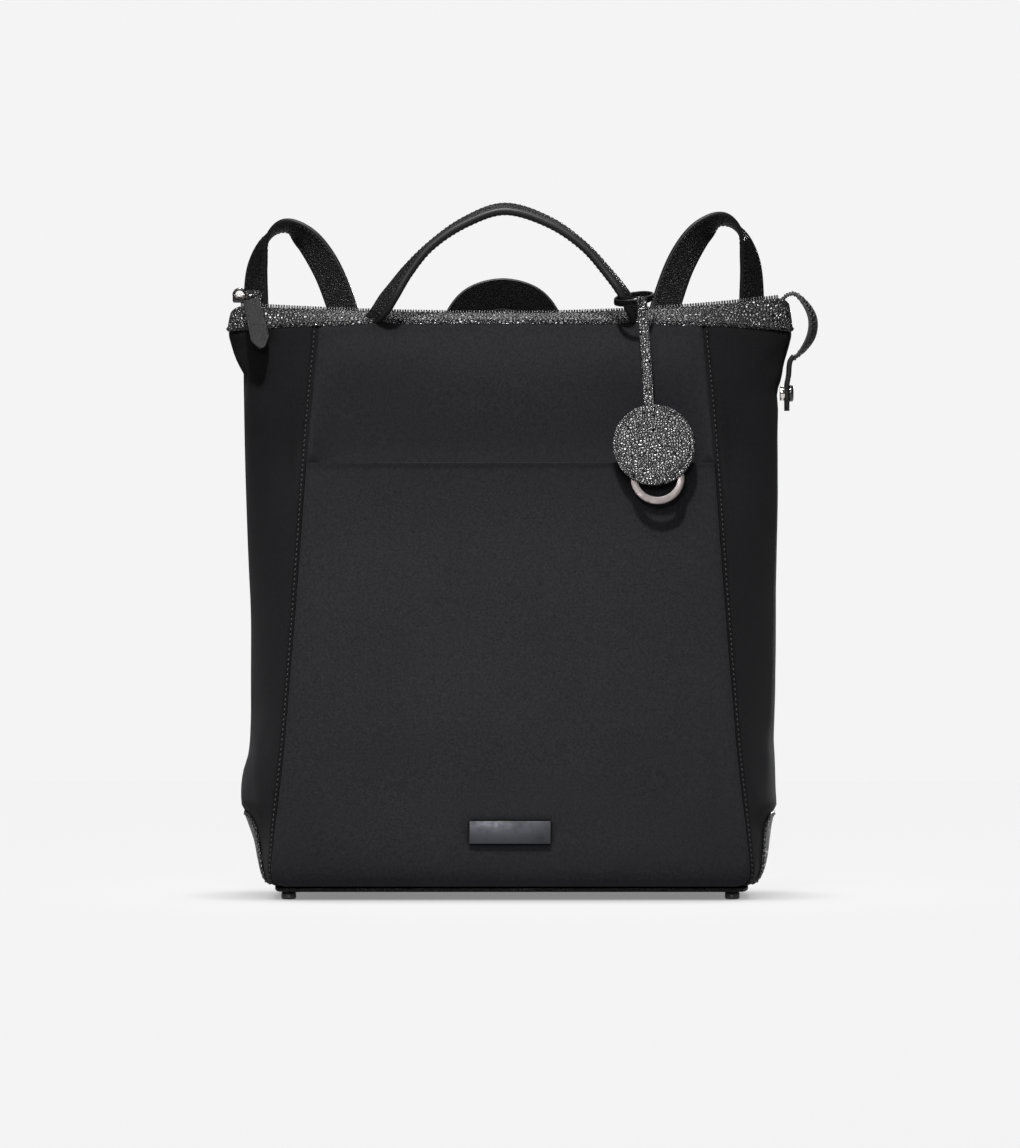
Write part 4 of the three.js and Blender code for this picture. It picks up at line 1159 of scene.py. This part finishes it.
def teeth_matrices(frames):
    """Where the teeth are along frames, from both sides in turn."""
    lengths = [0.0]
    for a, b in zip(frames, frames[1:]):
        lengths.append(lengths[-1] + (b["centre"] - a["centre"]).length)
    matrices = []
    k = 0
    for n in range(int(lengths[-1] / (TOOTH_PITCH / 2))):
        at = (n + 0.5) * TOOTH_PITCH / 2
        while k < len(frames) - 2 and lengths[k + 1] < at:
            k += 1
        t = (at - lengths[k]) / (lengths[k + 1] - lengths[k])
        low, high = frames[k], frames[k + 1]
        centre, along, across = (low[key].lerp(high[key], t) for key in ("centre", "along", "across"))
        side = 1 if n % 2 else -1
        normal = along.cross(across).normalized()
        centre = centre + across * (side * (TOOTH_LENGTH / 2 - TOOTH_REACH))
        matrices.append(frame_matrix(centre, along, across, normal))
    return matrices


chain_frames = []
for i in range(CHAIN_STEPS + 1):
    x = lerp(chain_left, chain_right, i / CHAIN_STEPS)
    slope = Vector((1, 0, zip_z(x + 0.5) - zip_z(x - 0.5))).normalized()
    chain_frames.append({"centre": Vector((x, 0, zip_z(x) + CHAIN_LIFT)), "along": slope,
                         "across": Vector((0, 1, 0))})
chain = copies("zip_teeth", tooth, teeth_matrices(chain_frames), black_nickel)
dress(chain, "zip_chain")
zip_tail = strap_piece("zip_tail_twill", tail_frames, strap_profile(TAIL_WIDTH, TAIL_THICKNESS, 0.1),
                       (woven_twill, woven_twill))
dress(zip_tail, "zip_tail")
tail_teeth = copies("zip_tail_teeth", tooth, teeth_matrices(tail_frames[4:]), shaded_nickel)
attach(tail_teeth, "root")
bpy.data.objects.remove(tooth)


# Tail tab and snap
# The zip's end is sewn into a folded leather tab, which a brass press snap with a black enamelled
# cap holds on the gusset. The snap's post and socket show bright between tab and bag.
SNAP_RADIUS = 5.2
TAB_THICKNESS = 3.0
TAB_FOLD = 2.0  # the CAD tab's thickness, which sets its middle
TAB_WIDTH = 10
TAB_POINT = 0.45  # share of its width at the tab's end

# Cut edges are sealed with a black edge paint, rounded by two coats.
edge_paint, tree = new_material("edge_paint")
brush_bump = bump_of(tree, own_noise(tree, 1.5, 3.0).outputs[0], 0.25, 0.1)
set_surface(tree, {
    "Base Color": (*linear(0x101011), 1), "Roughness": 0.48, "Specular IOR Level": 0.2,
}, {"Normal": brush_bump.outputs[0]})
# The snap's post is turned brass under bright nickel, its cap is stove enamelled in black.
polished_brass = metal_material("nickel_plated_brass", 0xD8D2CB, 0.14)
black_enamel, tree = new_material("black_enamel")
flow_gloss = add_node(tree, "ShaderNodeMapRange", {3: 0.16, 4: 0.3},
                      {0: own_noise(tree, 3).outputs[0]})
set_surface(tree, {
    "Base Color": (*linear(0x0E0E0F), 1), "Coat Weight": 0.4, "Coat Roughness": 0.1,
}, {"Roughness": flow_gloss.outputs[0]})

cap_low, cap_high = (Vector(corner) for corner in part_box("tail_cap"))
stud_low, stud_high = (Vector(corner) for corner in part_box("tail_stud"))
tab_x = (cap_low.x - BAG_X) / MM - CLEARANCE - TAB_FOLD / 2
tail_end = tail_rows[-1]
tab_rows = [
    (tail_end[0] + 0.4, 0, tail_end[2] + 2.2, 90),
    (tail_end[0] - 1.9, 0, tail_end[2] - 1.2, 90),
    (lerp(tail_end[0], tab_x, 0.75), 0, lerp(tail_end[2], SNAP_Z, 0.5), 90),
    (tab_x, 0, SNAP_Z + SNAP_RADIUS, 90),
    (tab_x, 0, SNAP_Z - SNAP_RADIUS, 90),
    (tab_x, 0, SNAP_Z - 2.1 * SNAP_RADIUS, 90),
]
tab_frames = smooth_path(tab_rows, 40)
snap_tab = strap_piece("snap_tab", tab_frames, strap_profile(TAB_WIDTH, TAB_THICKNESS, 0.15, 0.12),
                       (pebbled_cowhide, edge_paint),
                       lambda share: lerp(1, TAB_POINT, clamp((share - 0.9) * 10)))
dress(snap_tab, "tail_tab")


def turned_disc(name, low, high, rim, inset, material):
    """A turned disc across x between two corners: bevelled rim and a raised middle."""
    bpy.ops.object.select_all(action="DESELECT")
    bpy.ops.mesh.primitive_cylinder_add(vertices=ROUND_SIDES, radius=(high.z - low.z) / 2,
                                        depth=high.x - low.x, location=(low + high) / 2,
                                        rotation=(0, math.pi / 2, 0))
    piece = bpy.context.object
    piece.name = name
    bpy.ops.object.transform_apply(location=True, rotation=True, scale=True)
    bpy.ops.object.mode_set(mode="EDIT")
    bpy.ops.mesh.select_all(action="DESELECT")
    bpy.ops.object.mode_set(mode="OBJECT")
    for face in piece.data.polygons:
        face.select = face.normal.x > 0.9
    bpy.ops.object.mode_set(mode="EDIT")
    bpy.ops.mesh.inset(thickness=inset * MM, depth=0.35 * MM)
    bpy.ops.object.mode_set(mode="OBJECT")
    round_edges(piece, rim, 4, above=30)
    piece.data.shade_smooth()
    piece.data.materials.append(material)
    return piece


snap_cap = turned_disc("snap_cap", cap_low, cap_high, 0.6, 1.1, black_enamel)
snap_stud = turned_disc("snap_stud", stud_low, stud_high, 0.4, 1.6, polished_brass)
dress(snap_cap, "tail_cap")
dress(snap_stud, "tail_stud")


# Slider and pull
# A cast zinc slider with a wire bail, plated bright. A folded keeper of pebbled leather sits on
# the bail, and a pull of smooth leather with painted edges hangs from it, ending in a blunt point.
SLIDER = {"length": 7.6, "width": 8.6, "height": 4.4}
BAIL_RADIUS = 3.6
BAIL_WIRE = 0.9
CHAIN_TOP = 2.2  # the teeth's tops above the leather's edge
SLIDER_INSET = 0.9
SLIDER_EDGE = 0.9
SLIDER_PAST = 0.6  # how far the slider stands past the chain's end
KEEPER = {"width": 10.5, "depth": 7.5, "height": 6.8}
KEEPER_LAP = 0.8  # how far the keeper laps over the slider
KEEPER_FOLD = 2.3  # radius of the leather's turn over the bail
KEEPER_EDGE = 0.7
PULL_WIDTH = 12
PULL_LENGTH = 35
PULL_THICKNESS = 2.2
PULL_LEAN = 0.24
PULL_PITCH = -0.42
PULL_CORNER = 0.9
PULL_EDGE = 0.5
PULL_AHEAD = 1.2  # how far in front of the keeper the pull hangs
PULL_OUTLINE = (  # shares of the pull's width and length
    (-0.46, 0.0), (0.46, 0.0), (0.5, 0.8), (0.14, 1.0), (-0.14, 1.0), (-0.5, 0.8))

# Vegetable-tanned leather, glazed nearly smooth and dyed black.
smooth_cowhide = leather_material("smooth_cowhide", crease_shade=0x131314, top=0x1B1B1C, pebble=0.6,
                                  roughness=0.5, grain=0.08, shine=0.3)
# Cast zinc, tumbled and plated in bright nickel.
bright_zinc = metal_material("bright_zinc", 0x4E4C4A, 0.22)


def box_piece(name, size, centre, material):
    """A box added at its size, in millimetres, and its place, with nothing else selected."""
    bpy.ops.object.select_all(action="DESELECT")
    bpy.ops.mesh.primitive_cube_add(size=1, location=centre)
    piece = bpy.context.object
    piece.name = name
    piece.scale = [length * MM for length in size]
    bpy.ops.object.transform_apply(location=True, rotation=True, scale=True)
    piece.data.materials.append(material)
    return piece


slider_x = chain_left - SLIDER_PAST
slider_bottom = zip_z(chain_left) + CHAIN_TOP + CLEARANCE
slider = box_piece("slider_body", (SLIDER["length"], SLIDER["width"], SLIDER["height"]),
                   place(slider_x, 0, slider_bottom + SLIDER["height"] / 2), bright_zinc)
for face in slider.data.polygons:
    face.select = face.normal.x < -0.9 or face.normal.z > 0.9
bpy.ops.object.mode_set(mode="EDIT")
bpy.ops.mesh.select_mode(type="FACE")
bpy.ops.mesh.inset(thickness=SLIDER_INSET * MM, depth=0.4 * MM)
bpy.ops.object.mode_set(mode="OBJECT")
round_edges(slider, SLIDER_EDGE, 4, above=25)
bpy.ops.object.shade_smooth_by_angle(angle=math.radians(30))
bpy.ops.object.select_all(action="DESELECT")
bpy.ops.mesh.primitive_torus_add(
    major_segments=40, minor_segments=12, major_radius=BAIL_RADIUS * MM, minor_radius=BAIL_WIRE * MM,
    location=place(slider_x, 0, slider_bottom + SLIDER["height"]), rotation=(math.pi / 2, 0, 0))
bail = bpy.context.object
bail.name = "slider_bail"
bpy.ops.object.transform_apply(location=True, rotation=True, scale=True)
bail.data.materials.append(bright_zinc)
bail.data.shade_smooth()
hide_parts("zip_slider")
for piece in (slider, bail):
    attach(piece, "root")

keeper_x = slider_x + SLIDER["length"] / 2 + CLEARANCE + KEEPER["width"] / 2 - KEEPER_LAP
keeper_z = slider_bottom + CLEARANCE + KEEPER["height"] / 2
keeper = box_piece("pull_keeper_fold", (KEEPER["width"], KEEPER["depth"], KEEPER["height"]),
                   place(keeper_x, -KEEPER["depth"] / 4, keeper_z), pebbled_cowhide)
for edge in keeper.data.edges:
    a, b = (keeper.data.vertices[v].co for v in edge.vertices)
    edge.select = abs(a.z - b.z) < MM and abs(a.x - b.x) < MM and a.z > place(0, 0, keeper_z).z
bpy.ops.object.mode_set(mode="EDIT")
bpy.ops.mesh.select_mode(type="EDGE")
bpy.ops.mesh.bevel(offset=KEEPER_FOLD * MM, segments=6, affect="EDGES")
bpy.ops.object.mode_set(mode="OBJECT")
round_edges(keeper, KEEPER_EDGE, above=50)
keeper.data.shade_smooth()
dress(keeper, "pull_keeper")

pull_matrix = (Matrix.Rotation(-PULL_LEAN, 4, "Y")
               @ Matrix.Rotation(math.pi / 2 + PULL_PITCH, 4, "X"))
pull_matrix.translation = place(
    keeper_x - KEEPER_LAP, -KEEPER["depth"] * 0.75 - CLEARANCE - PULL_THICKNESS - PULL_AHEAD,
    keeper_z - KEEPER["height"] * 0.45)
pull_mesh = bpy.data.meshes.new("leather_pull")
pull_mesh.from_pydata([(a * PULL_WIDTH * MM, -b * PULL_LENGTH * MM, PULL_THICKNESS * MM)
                       for a, b in PULL_OUTLINE], [], [tuple(reversed(range(len(PULL_OUTLINE))))])
pull = smooth_object("leather_pull", pull_mesh, smooth_cowhide, edge_paint)
select_only(pull)
bpy.ops.object.mode_set(mode="EDIT")
bpy.ops.mesh.select_all(action="SELECT")
bpy.ops.mesh.bevel(offset=PULL_CORNER * MM, segments=3, affect="VERTICES")
bpy.ops.object.mode_set(mode="OBJECT")
apply_modifier(pull, "SOLIDIFY", thickness=PULL_THICKNESS * MM, offset=-1,
               use_rim=True, material_offset_rim=1)
round_edges(pull, PULL_EDGE, above=60)
pull.data.transform(pull_matrix)
pull.data.shade_flat()
dress(pull, "pull_tab")


# Top handle
# Two layers of fine-grained cowhide round a cord filler, stitched near both edges and painted
# along the cut. It stands on edge, and its narrowed feet are sewn in under the front band.
HANDLE_WIDTH = 18
HANDLE_THICKNESS = 5
HANDLE_RISE = 70
HANDLE_LEAN = 7
HANDLE_FOOT_WIDTH = 0.55  # share of the width at its feet
HANDLE_SEAM = 3.0  # how far in from the edge the stitches run
THREAD_SINK = 0.25  # how deep a strap's thread lies in its face
# Shares of half the span and of the rise, the turn in degrees, and the tuck in millimetres.
HANDLE_BOW = [dict(zip(("across", "up", "turn", "tuck"), row)) for row in (
    (-1.09, 0, 26, 11),
    (-1.01, 0.1, 42, 4),
    (-0.93, 0.229, 60, 0),
    (-0.795, 0.447, 74, 0),
    (-0.617, 0.666, 84, 0),
    (-0.34, 0.882, 79, 0),
    (-0.03, 1, 75, 0),
    (0.324, 0.882, 79, 0),
    (0.6, 0.666, 84, 0),
    (0.777, 0.447, 81, 0),
    (0.905, 0.26, 76, 0),
    (0.975, 0.12, 66, 4),
    (1.02, 0, 56, 11),
)]


def edge_stitches(mesh, frames, width, thickness, inset, width_at=even_width):
    """Stitches near both edges of a strap, on both its faces."""
    for side in (-1, 1):
        for face in (-1, 1):
            line = []
            for here in frames:
                off = side * (width / 2 * width_at(here["share"]) - inset)
                spot = (here["centre"] + here["across"] * off
                        + here["normal"] * (face * (thickness / 2 - THREAD_SINK)))
                line.append((spot, here["normal"] * face))
            add_stitches(mesh, line, size=0.9, skip=4)


handle_foot_y = front_y(HANDLE_SPAN / 2, SEAM_HEIGHT) - CLEARANCE - HANDLE_THICKNESS * 0.8
handle_rows = [(HANDLE_SHIFT + b["across"] * HANDLE_SPAN / 2,
                handle_foot_y + HANDLE_LEAN * b["up"] + b["tuck"],
                SEAM_HEIGHT + 1 + b["up"] * HANDLE_RISE, b["turn"]) for b in HANDLE_BOW]
handle_frames = smooth_path(handle_rows, 150)


def handle_taper(share):
    return lerp(HANDLE_FOOT_WIDTH, 1, ease(min(share, 1 - share) * 5))


handle = strap_piece("leather_handle", handle_frames,
                     strap_profile(HANDLE_WIDTH, HANDLE_THICKNESS, 0.35, 0.25),
                     (strap_cowhide, edge_paint), handle_taper)
dress(handle, "top_handle")
handle_stitches = bmesh.new()
edge_stitches(handle_stitches, handle_frames, HANDLE_WIDTH, HANDLE_THICKNESS, HANDLE_SEAM,
              handle_taper)
thread_object("handle_thread", handle_stitches)


# Grab loop
# A short, broad loop of waxed leather behind the zip, sewn to the back panel below its band.
GRAB_WIDTH = 22.5
GRAB_THICKNESS = 3.4
GRAB_SPAN = 58
GRAB_SHIFT = -3.4
GRAB_RISE = 20
GRAB_LEAN = 8
GRAB_FOOT = 0.55  # how far below the seam its feet are, as a share of its rise
GRAB_PROUD = 0.3
# Half of the loop from its left foot to its middle, as shares of its half span, rise and lean and
# the turn in degrees; the right half mirrors it.
GRAB_HALF = [dict(zip(("across", "up", "back", "turn"), row)) for row in (
    (-1, -GRAB_FOOT, 0, 0),
    (-0.93, 0.1, 0.3, 10),
    (-0.6, 0.75, 0.8, 16),
    (0, 1, 1, 18),
)]
GRAB_BOW = GRAB_HALF + [{**b, "across": -b["across"]} for b in reversed(GRAB_HALF[:-1])]

# Cowhide greased and waxed until it hardly shines, cut thick, and darkened near to black: painted
# shade for the loop that sits in shade behind the zip.
shaded_waxed_cowhide = leather_material("shaded_waxed_cowhide", crease_shade=0x040404, top=0x070707, pebble=1.3,
                                 roughness=0.75, grain=0.25, shine=0.06)
grab_foot_y = (-front_y(0, SEAM_HEIGHT - GRAB_FOOT * GRAB_RISE) + CLEARANCE + GRAB_THICKNESS / 2
               + GRAB_PROUD)
grab_rows = [(HANDLE_SHIFT + GRAB_SHIFT + b["across"] * GRAB_SPAN / 2,
              grab_foot_y + b["back"] * GRAB_LEAN,
              SEAM_HEIGHT + b["up"] * GRAB_RISE, b["turn"]) for b in GRAB_BOW]
grab = strap_piece("grab_loop_leather", smooth_path(grab_rows, 80),
                   strap_profile(GRAB_WIDTH, GRAB_THICKNESS, 0.3, 0.2),
                   (shaded_waxed_cowhide, edge_paint))
dress(grab, "grab_loop")


# Shoulder straps
# Long straps of doubled cowhide, stitched near both edges. Each is sewn to the upper back, stands
# up in a loop, comes down beside the bag and is sewn to the back again above the base.
STRAP_WIDTH = 19
STRAP_THICKNESS = 3.2
STRAP_TOP = SEAM_HEIGHT + 64
STRAP_OUT = 161
STRAP_STAND = 30
STRAP_PROUD = 0.9  # how far a sewn end stands off the cloth
STRAP_SEAM = 2.4
WALL_EDGE = 0.7  # where the back panel ends, as a share of half the bag's width
# Shares of the straps' reach out, their stand off the back and their top, and the turn in degrees.
STRAP_BOW = [dict(zip(("out", "back", "up", "turn"), row)) for row in (
    (0.615, 0, 0.775, 0),
    (0.625, 0, 0.825, 0),
    (0.662, 0.25, 0.88, 4),
    (0.728, 0.42, 0.941, 16),
    (0.805, 0.6, 0.981, 38),
    (0.885, 0.8, 0.998, 68),
    (0.957, 1.0, 0.982, 99),
    (0.995, 1.12, 0.942, 130),
    (1.003, 1.16, 0.885, 146),
    (1.0, 1.15, 0.78, 152),
    (0.99, 1.1, 0.6, 160),
    (0.965, 0.85, 0.4, 170),
    (0.92, 0.42, 0.22, 178),
    (0.86, 0, 0.125, 180),
    (0.835, 0, 0.07, 180),
)]
STRAP_SIDES = [
    {"name": "left", "side": -1, "drawn_in": 0, "raised": 0},
    {"name": "right", "side": 1, "drawn_in": 8.5, "raised": 4.25},
]
strap_stitches = bmesh.new()
for hang in STRAP_SIDES:
    strap_rows = []
    for b in STRAP_BOW:
        x = b["out"] * STRAP_OUT - hang["drawn_in"] * ease((b["up"] - 0.3) / 0.4)
        z = b["up"] * STRAP_TOP + hang["raised"] * ease((b["up"] - 0.85) / 0.13)
        wall = -front_y(min(b["out"] * STRAP_OUT, WALL_EDGE * HALF_WIDTH), min(z, SEAM_HEIGHT))
        y = wall + CLEARANCE + STRAP_THICKNESS / 2 + STRAP_PROUD + b["back"] * STRAP_STAND
        strap_rows.append((hang["side"] * x, y, z, hang["side"] * -b["turn"]))
    strap_frames = smooth_path(strap_rows, 260)
    node = "shoulder_strap_" + hang["name"]
    strap = strap_piece(node + "_leather", strap_frames,
                        strap_profile(STRAP_WIDTH, STRAP_THICKNESS, 0.25, 0.2),
                        (strap_cowhide, edge_paint))
    dress(strap, node)
    edge_stitches(strap_stitches, strap_frames, STRAP_WIDTH, STRAP_THICKNESS, STRAP_SEAM)
thread_object("strap_thread", strap_stitches)


# Nameplate
# A small cast plate, satin dark nickel, let into the pocket by two pins behind. Its face is bare,
# inside a fine raised frame.
PLATE_SIZE = (51.2, 2.0, 15.0)
PLATE_X = -0.3
PLATE_Z = 42.4
PLATE_FRAME = 0.8
PLATE_RECESS = 0.5
PLATE_EDGE = 0.4
PLATE_PROUD = 0.2
satin_nickel = metal_material("satin_dark_nickel", 0x303134, 0.46, 0.25, 0.015)
plate = box_piece("metal_nameplate", PLATE_SIZE, (0, 0, 0), satin_nickel)
for face in plate.data.polygons:
    face.select = face.normal.y < -0.9
bpy.ops.object.mode_set(mode="EDIT")
bpy.ops.mesh.select_mode(type="FACE")
bpy.ops.mesh.inset(thickness=PLATE_FRAME * MM, depth=0)
bpy.ops.mesh.inset(thickness=PLATE_RECESS * MM, depth=-PLATE_RECESS * MM)
bpy.ops.object.mode_set(mode="OBJECT")
round_edges(plate, PLATE_EDGE, above=60)
plate_rise = PLATE_SIZE[2] / 2
plate_slope = math.atan2(pocket_face_y(PLATE_X, PLATE_Z + plate_rise)
                         - pocket_face_y(PLATE_X, PLATE_Z - plate_rise), PLATE_SIZE[2])
plate_y = pocket_face_y(PLATE_X, PLATE_Z) - CLEARANCE - PLATE_SIZE[1] / 2 - PLATE_PROUD
plate_matrix = Matrix.Rotation(-plate_slope, 4, "X")
plate_matrix.translation = place(PLATE_X, plate_y, PLATE_Z)
plate.data.transform(plate_matrix)
select_only(plate)
bpy.ops.object.shade_smooth_by_angle(angle=math.radians(40))
dress(plate, "nameplate")


# Fob
# A round fob of pebbled leather on the handle's right foot: a flat loop round the handle, a narrow
# strap, and two discs edge-stitched together over a flat split ring.
FOB_RADIUS = 25.4
FOB_BACK_STEP = 0.8  # how much smaller the back disc's radius is
FOB_LEATHER = 1.7
FOB_CREASE = 2.8  # the stitched crease inside the rim
FOB_PITCH = 2.7
FOB_OPEN = 0.17  # half turns on each side of the strap that are left unstitched
FOB_THREAD_OUT = 0.45  # how far the thread lies in front of the disc's middle
SEAM_STEPS = 180
FOB_STRAP = {"width": 6.4, "thickness": 1.5, "inset": 7.6, "lap": 5, "straight": 10}
LOOP = {"half_x": 12.4, "half_y": 13.6, "height": 4.2, "rise": 15, "tilt": 0.14, "pitch": 0.22,
        "shift": 4.6}
RING = {"radius": 16.8, "band": 4.6, "thickness": 1.4, "edge": 0.4, "x": 2.2, "z": -20.1}
DISC_SIDES = 96

# Cowhide like the band's, split thinner, with smaller pebbles and more painted shade in its creases.
fob_cowhide = leather_material("fob_cowhide", crease_shade=0x060606, top=0x1A1A1B, pebble=1.7,
                               roughness=0.42, grain=0.24, shine=1.2)
# Spring steel plated in a warm nickel, rubbed matt by keys.
rosy_nickel = metal_material("rosy_nickel", 0x565150, 0.42)

disc_low, disc_high = (Vector(corner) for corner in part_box("fob_disc"))
fob_tilt = math.asin(((disc_high.y - disc_low.y) / MM - FOB_LEATHER) / (2 * FOB_RADIUS))
disc_off = (RING["thickness"] + FOB_LEATHER) / 2 + CLEARANCE
fob_turn = Matrix.Rotation(-fob_tilt, 3, "X")
disc_centre = (disc_low + disc_high) / 2
fob_centre = Vector(((disc_centre.x - BAG_X) / MM, (disc_centre.y - BAG_Y) / MM,
                     (disc_centre.z - BAG_Z) / MM)) - fob_turn @ Vector((0, -disc_off, 0))


def fob_place(x, y, z):
    """A place on the fob in its own plane, in millimetres from the middle of the bag's foot."""
    return fob_centre + fob_turn @ Vector((x, y, z))


DISC_PROFILE = [  # share of the radius, and how far the face stands off the disc's middle
    {"out": 0.0, "off": 0.95}, {"out": 0.3, "off": 0.98}, {"out": 0.55, "off": 1.0},
    {"out": 0.75, "off": 0.98}, {"out": 0.85, "off": 0.9}, {"out": 0.872, "off": 0.72},
    {"out": 0.89, "off": 0.5}, {"out": 0.908, "off": 0.72}, {"out": 0.93, "off": 0.85},
    {"out": 0.965, "off": 0.8}, {"out": 0.99, "off": 0.55}, {"out": 1.0, "off": 0.2},
    {"out": 1.0, "off": -0.4}, {"out": 0.99, "off": -0.75}, {"out": 0.96, "off": -0.85},
    {"out": 0.0, "off": -0.85},
]


def leather_disc(name, radius, offset, facing, node):
    """A leather disc in the fob's plane with a crease round its face; facing is -1 to the front."""
    points = []
    for ring in DISC_PROFILE:
        for i in range(DISC_SIDES):
            angle = 2 * math.pi * i / DISC_SIDES
            points.append(place(*fob_place(ring["out"] * radius * math.cos(angle),
                                           offset + facing * ring["off"],
                                           ring["out"] * radius * math.sin(angle))))
    faces = [(r * DISC_SIDES + i, r * DISC_SIDES + (i + 1) % DISC_SIDES,
              (r + 1) * DISC_SIDES + (i + 1) % DISC_SIDES, (r + 1) * DISC_SIDES + i)
             for r in range(len(DISC_PROFILE) - 1) for i in range(DISC_SIDES)]
    mesh = bpy.data.meshes.new(name)
    mesh.from_pydata(points, [], faces)
    face_outwards(mesh, weld=0.01 * MM)
    dress(smooth_object(name, mesh, fob_cowhide), node)


leather_disc("fob_front_disc", FOB_RADIUS, -disc_off, -1, "fob_disc")
leather_disc("fob_back_disc", FOB_RADIUS - FOB_BACK_STEP, disc_off, 1, "fob_backing")
fob_stitches = bmesh.new()
stitch_ring = []
for i in range(SEAM_STEPS + 1):
    angle = math.pi * (0.5 + FOB_OPEN + i / SEAM_STEPS * (2 - 2 * FOB_OPEN))
    radius = FOB_RADIUS - FOB_CREASE
    stitch_ring.append((fob_place(radius * math.cos(angle), -disc_off - FOB_THREAD_OUT,
                                  radius * math.sin(angle)), fob_turn @ Vector((0, -1, 0))))
add_stitches(fob_stitches, stitch_ring, pitch=FOB_PITCH, size=0.8)
thread_object("fob_thread", fob_stitches)

bpy.ops.object.select_all(action="DESELECT")
bpy.ops.mesh.primitive_circle_add(vertices=DISC_SIDES, radius=RING["radius"] * MM,
                                  fill_type="NOTHING")
ring = bpy.context.object
ring.name = "fob_split_ring"
inner_share = 1 - RING["band"] / RING["radius"]
bpy.ops.object.mode_set(mode="EDIT")
bpy.ops.mesh.select_mode(type="EDGE")
bpy.ops.mesh.select_all(action="SELECT")
bpy.ops.mesh.extrude_region_move()
bpy.ops.transform.resize(value=(inner_share,) * 3)
bpy.ops.mesh.select_all(action="SELECT")
bpy.ops.mesh.normals_make_consistent(inside=False)
bpy.ops.object.mode_set(mode="OBJECT")
apply_modifier(ring, "SOLIDIFY", thickness=RING["thickness"] * MM, offset=0)
round_edges(ring, RING["edge"], above=50)
ring_matrix = (fob_turn @ Matrix.Rotation(math.pi / 2, 3, "X")).to_4x4()
ring_matrix.translation = place(*fob_place(RING["x"], 0, RING["z"]))
ring.data.transform(ring_matrix)
ring.data.materials.append(rosy_nickel)
bpy.ops.object.shade_smooth_by_angle(angle=math.radians(40))
dress(ring, "fob_ring")

loop_z = SEAM_HEIGHT + LOOP["rise"]
at_loop = min((f for f in handle_frames if f["centre"].x > 0),
              key=lambda f: abs(f["centre"].z - loop_z))["centre"]
loop_x = at_loop.x + LOOP["shift"]
half_x = LOOP["half_x"] - FOB_STRAP["thickness"] / 2
half_y = LOOP["half_y"] - FOB_STRAP["thickness"] / 2
loop_frames = []
for i in range(DISC_SIDES + 1):
    angle = math.pi / 2 + 2 * math.pi * i / DISC_SIDES
    tilt = LOOP["tilt"] * half_x * math.cos(angle) + LOOP["pitch"] * half_y * math.sin(angle)
    along = Vector((-half_x * math.sin(angle), half_y * math.cos(angle), 0)).normalized()
    loop_frames.append({"centre": Vector((loop_x + half_x * math.cos(angle),
                                          at_loop.y + half_y * math.sin(angle), loop_z + tilt)),
                        "along": along, "across": Vector((0, 0, 1)),
                        "normal": along.cross(Vector((0, 0, 1))),
                        "share": i / DISC_SIDES})
fob_loop = strap_piece("fob_loop", loop_frames,
                       strap_profile(LOOP["height"], FOB_STRAP["thickness"], 0.1),
                       (shaded_waxed_cowhide, edge_paint))
strap_x = loop_x + LOOP["half_x"] - FOB_STRAP["inset"]
strap_front = at_loop.y - LOOP["half_y"]
strap_end = fob_place(-2.2, -disc_off - 0.15, FOB_RADIUS - FOB_STRAP["lap"])
fob_strap_rows = [  # over the loop's front, down past the band, then in the disc's own plane
    (strap_x - 0.2, strap_front - 1.8, loop_z + 0.8, 0),
    (strap_x + 0.2, strap_front - 0.6, loop_z - 8, 0),
    (lerp(strap_x, strap_end.x, 0.5), lerp(strap_front + 0.6, strap_end.y, 0.5),
     lerp(loop_z, strap_end.z, 0.5), 0),
    (strap_end.x - 1, strap_end.y + math.tan(fob_tilt) * FOB_STRAP["straight"],
     strap_end.z + FOB_STRAP["straight"], 0),
    (strap_end.x, strap_end.y, strap_end.z, 0),
]
fob_strap = strap_piece("fob_strap_leather", smooth_path(fob_strap_rows, 60),
                        strap_profile(FOB_STRAP["width"], FOB_STRAP["thickness"], 0.2),
                        (fob_cowhide, fob_cowhide))
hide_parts("fob_strap")
for piece in (fob_loop, fob_strap):
    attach(piece, "root")
